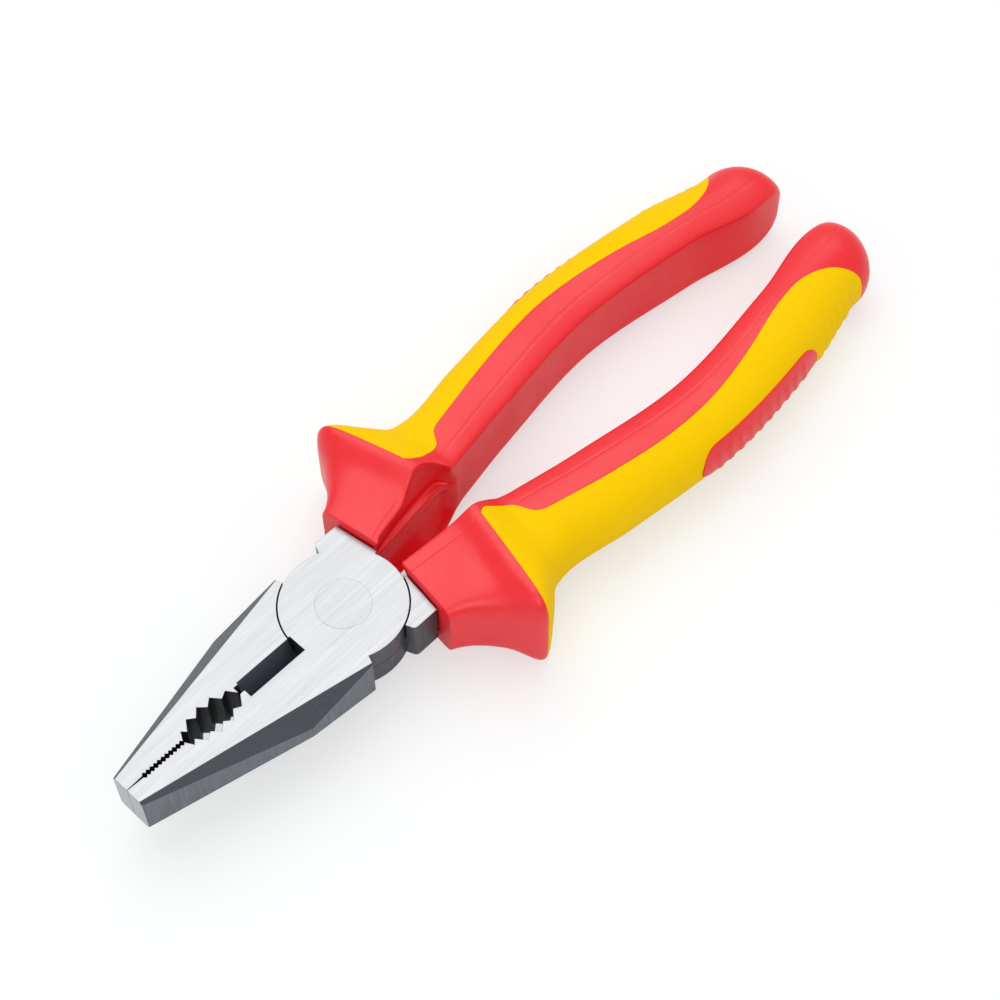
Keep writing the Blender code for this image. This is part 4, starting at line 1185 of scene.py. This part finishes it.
def tang(name, side, gap):
    """The tapered tang that the grip is moulded round, or its socket when given a gap."""
    root = GRIP_MOUTH - MOUTH_GAP - TANG_OVERLAP
    centre_places = [root, GRIP_RIM, GRIP_NECK, GRIP_PALM, GRIP_HEEL]
    centres = [TANG_ROOT_CENTRE, TANG_RIM_CENTRE, (NECK_INNER + NECK_OUTER) / 2]
    centres += [(PALM_INNER + PALM_OUTER) / 2, (HEEL_INNER + HEEL_OUTER) / 2]
    start = root - SOCKET_LEAD if gap else root
    places = [start, between(root, GRIP_RIM, 0.4), GRIP_RIM, GRIP_NECK, WRIST]
    places += [between(WRIST, GRIP_PALM, 0.5), GRIP_PALM, between(GRIP_PALM, GRIP_HEEL, 0.5)]
    places += [GRIP_HEEL, TANG_REACH + gap]
    corner = TANG_CORNER
    points = []
    for place in places:
        centre = smooth(place, centre_places, centres)
        share = (place - root) / (TANG_REACH - root)
        wide = between(TANG_ROOT_HALF_WIDTH, TANG_TIP_HALF_WIDTH, share) + gap
        tall = between(TANG_ROOT_HALF_HEIGHT, TANG_TIP_HALF_HEIGHT, share) + gap
        slope = MOUTH_SLOPE if place < GRIP_RIM else 0.0
        loop = [(wide, corner - tall), (wide, tall - corner), (wide - corner, tall)]
        loop += [(corner - wide, tall), (-wide, tall - corner), (-wide, corner - tall)]
        loop += [(corner - wide, -tall), (wide - corner, -tall)]
        for across, z in loop:
            x = -place + slope * across
            points.append((x, side * (centre + across), MID_Z + z))
    return add_lofted(name, points, len(loop), [BLACK])


# ---------- pieces

for half, side in (("upper", -1), ("lower", 1)):
    steel = build_half(half + "_steel", half == "lower")
    sleeve = build_sleeve(half + "_grip", side)
    socket = tang(half + "_socket", side, SOCKET_GAP)
    combine(sleeve, socket, "DIFFERENCE")
    settle(sleeve, [socket])
    soften_edges(sleeve, MOULD_EDGE, MOULD_TURN)
    cover = build_cover(half + "_cover", side)
    soften_edges(cover, MOULD_EDGE, MOULD_TURN)
    for piece, node, finish in (
        (steel, half + "_half", "ground_steel"),
        (sleeve, half + "_half_sleeve", "red_grip"),
        (cover, half + "_half_cover", "yellow_cover"),
    ):
        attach(piece, half)
        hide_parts(node)

rivet = add_turned("rivet", rivet_profile(0.0), RIVET_SIDES, [RIVET_STEEL])
soften_edges(rivet, RIVET_EDGE, RIVET_TURN)
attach(rivet, "lower")
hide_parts("pivot_rivet")

# ---------- floor, lights and camera

# The tool lies on its guards and on the thick part of its grips, so it tips up a little.
FLOOR_GAP = 0.02 * MM
GUARD_Z = MID_Z - shape_at(GRIP_RIM)[2] - FLOOR_GAP
HEEL_Z = MID_Z - shape_at(GRIP_HEEL)[2] - FLOOR_GAP
TIP = math.atan((HEEL_Z - GUARD_Z) / (GRIP_HEEL - GRIP_RIM))

FLOOR_REACH = 3.0
TABLE_COLOUR = (0.87, 0.9, 0.9, 1.0)
TABLE_WHITE = 1.12
TABLE_GLOW_SHARE = 0.48

# The studio's brightness, and each softbox's place, side and power
STUDIO_STRENGTH = 0.59
LIGHT_AIM = Vector((-0.04, 0.0, 0.0))
SOFTBOXES = {
    "overhead": ((-0.235, -0.37, 0.95), 1.0, 4.6),
    "front": ((0.42, 0.46, 0.82), 0.5, 1.85),
    "nose": ((0.75, 0.1, 0.5), 0.6, 0.4),
}

LENS = 72.792
SENSOR_WIDTH = 36.0
CAMERA_AZIMUTH = math.radians(44.46)
CAMERA_ELEVATION = math.radians(55.86)
CAMERA_ROLL = math.radians(-0.96)
CAMERA_DISTANCE = 372.674 * MM
CAMERA_AIM = Vector((-36.986 * MM, 2.622 * MM, MID_Z))


def build_floor():
    """The white table, tipped so that the tool rests on it."""
    mesh = bpy.data.meshes.new("floor")
    corners = [(-1, -1), (1, -1), (1, 1), (-1, 1)]
    points = [(FLOOR_REACH * x, FLOOR_REACH * y, 0.0) for x, y in corners]
    mesh.from_pydata(points, [], [(0, 1, 2, 3)])
    floor = add_to_scene("floor", mesh)
    floor.location = (-GRIP_RIM, 0, GUARD_Z)
    floor.rotation_euler = (0, TIP, 0)
    material, nodes, shader = start_material("white_table", roughness=0.9, metallic=0.0)
    shader.inputs["Base Color"].default_value = TABLE_COLOUR
    shader.inputs["Specular IOR Level"].default_value = 0.1
    # The table is seen lighter than it lights the tool, so its shadows stay pale.
    glow = nodes.add("ShaderNodeEmission")
    glow.inputs["Strength"].default_value = TABLE_WHITE
    seen = nodes.add("ShaderNodeLightPath").outputs["Is Camera Ray"]
    blend = nodes.add("ShaderNodeMixShader")
    surface = material.node_tree.nodes["Material Output"].inputs["Surface"]
    nodes.join(nodes.maths("MULTIPLY", seen, TABLE_GLOW_SHARE), blend.inputs["Fac"])
    nodes.join(shader.outputs["BSDF"], blend.inputs[1])
    nodes.join(glow.outputs["Emission"], blend.inputs[2])
    nodes.join(blend.outputs["Shader"], surface)
    mesh.materials.append(material)


def add_softbox(name, place, side, power):
    """A square area light that faces the tool."""
    light = bpy.data.lights.new(name, "AREA")
    light.size = side
    light.energy = power
    obj = add_to_scene(name, light)
    obj.location = place
    obj.rotation_euler = (LIGHT_AIM - Vector(place)).to_track_quat("-Z", "Y").to_euler()


def build_world():
    """A plain white studio, equally bright all round."""
    world = bpy.data.worlds.new("studio")
    bpy.context.scene.world = world
    world.use_nodes = True
    background = world.node_tree.nodes["Background"]
    background.inputs["Color"].default_value = (1.0, 1.0, 1.0, 1.0)
    background.inputs["Strength"].default_value = STUDIO_STRENGTH


def build_camera():
    """A long lens that looks down on the tool from beside its nose, rolled a little."""
    camera_data = bpy.data.cameras.new("camera")
    camera_data.lens = LENS
    camera_data.sensor_width = SENSOR_WIDTH
    camera_data.clip_start = 0.01
    camera = add_to_scene("camera", camera_data)
    back = Vector(polar(math.cos(CAMERA_ELEVATION), CAMERA_AZIMUTH)).to_3d()
    back.z = math.sin(CAMERA_ELEVATION)
    camera.location = CAMERA_AIM + back * CAMERA_DISTANCE
    roll = Matrix.Rotation(CAMERA_ROLL, 3, "Z")
    turn = (-back).to_track_quat("-Z", "Y") @ roll.to_quaternion()
    camera.rotation_euler = turn.to_euler()
    bpy.context.scene.camera = camera


build_floor()
build_world()
for box_name, box in SOFTBOXES.items():
    add_softbox(box_name, *box)
build_camera()
bpy.context.scene.view_settings.view_transform = "Standard"
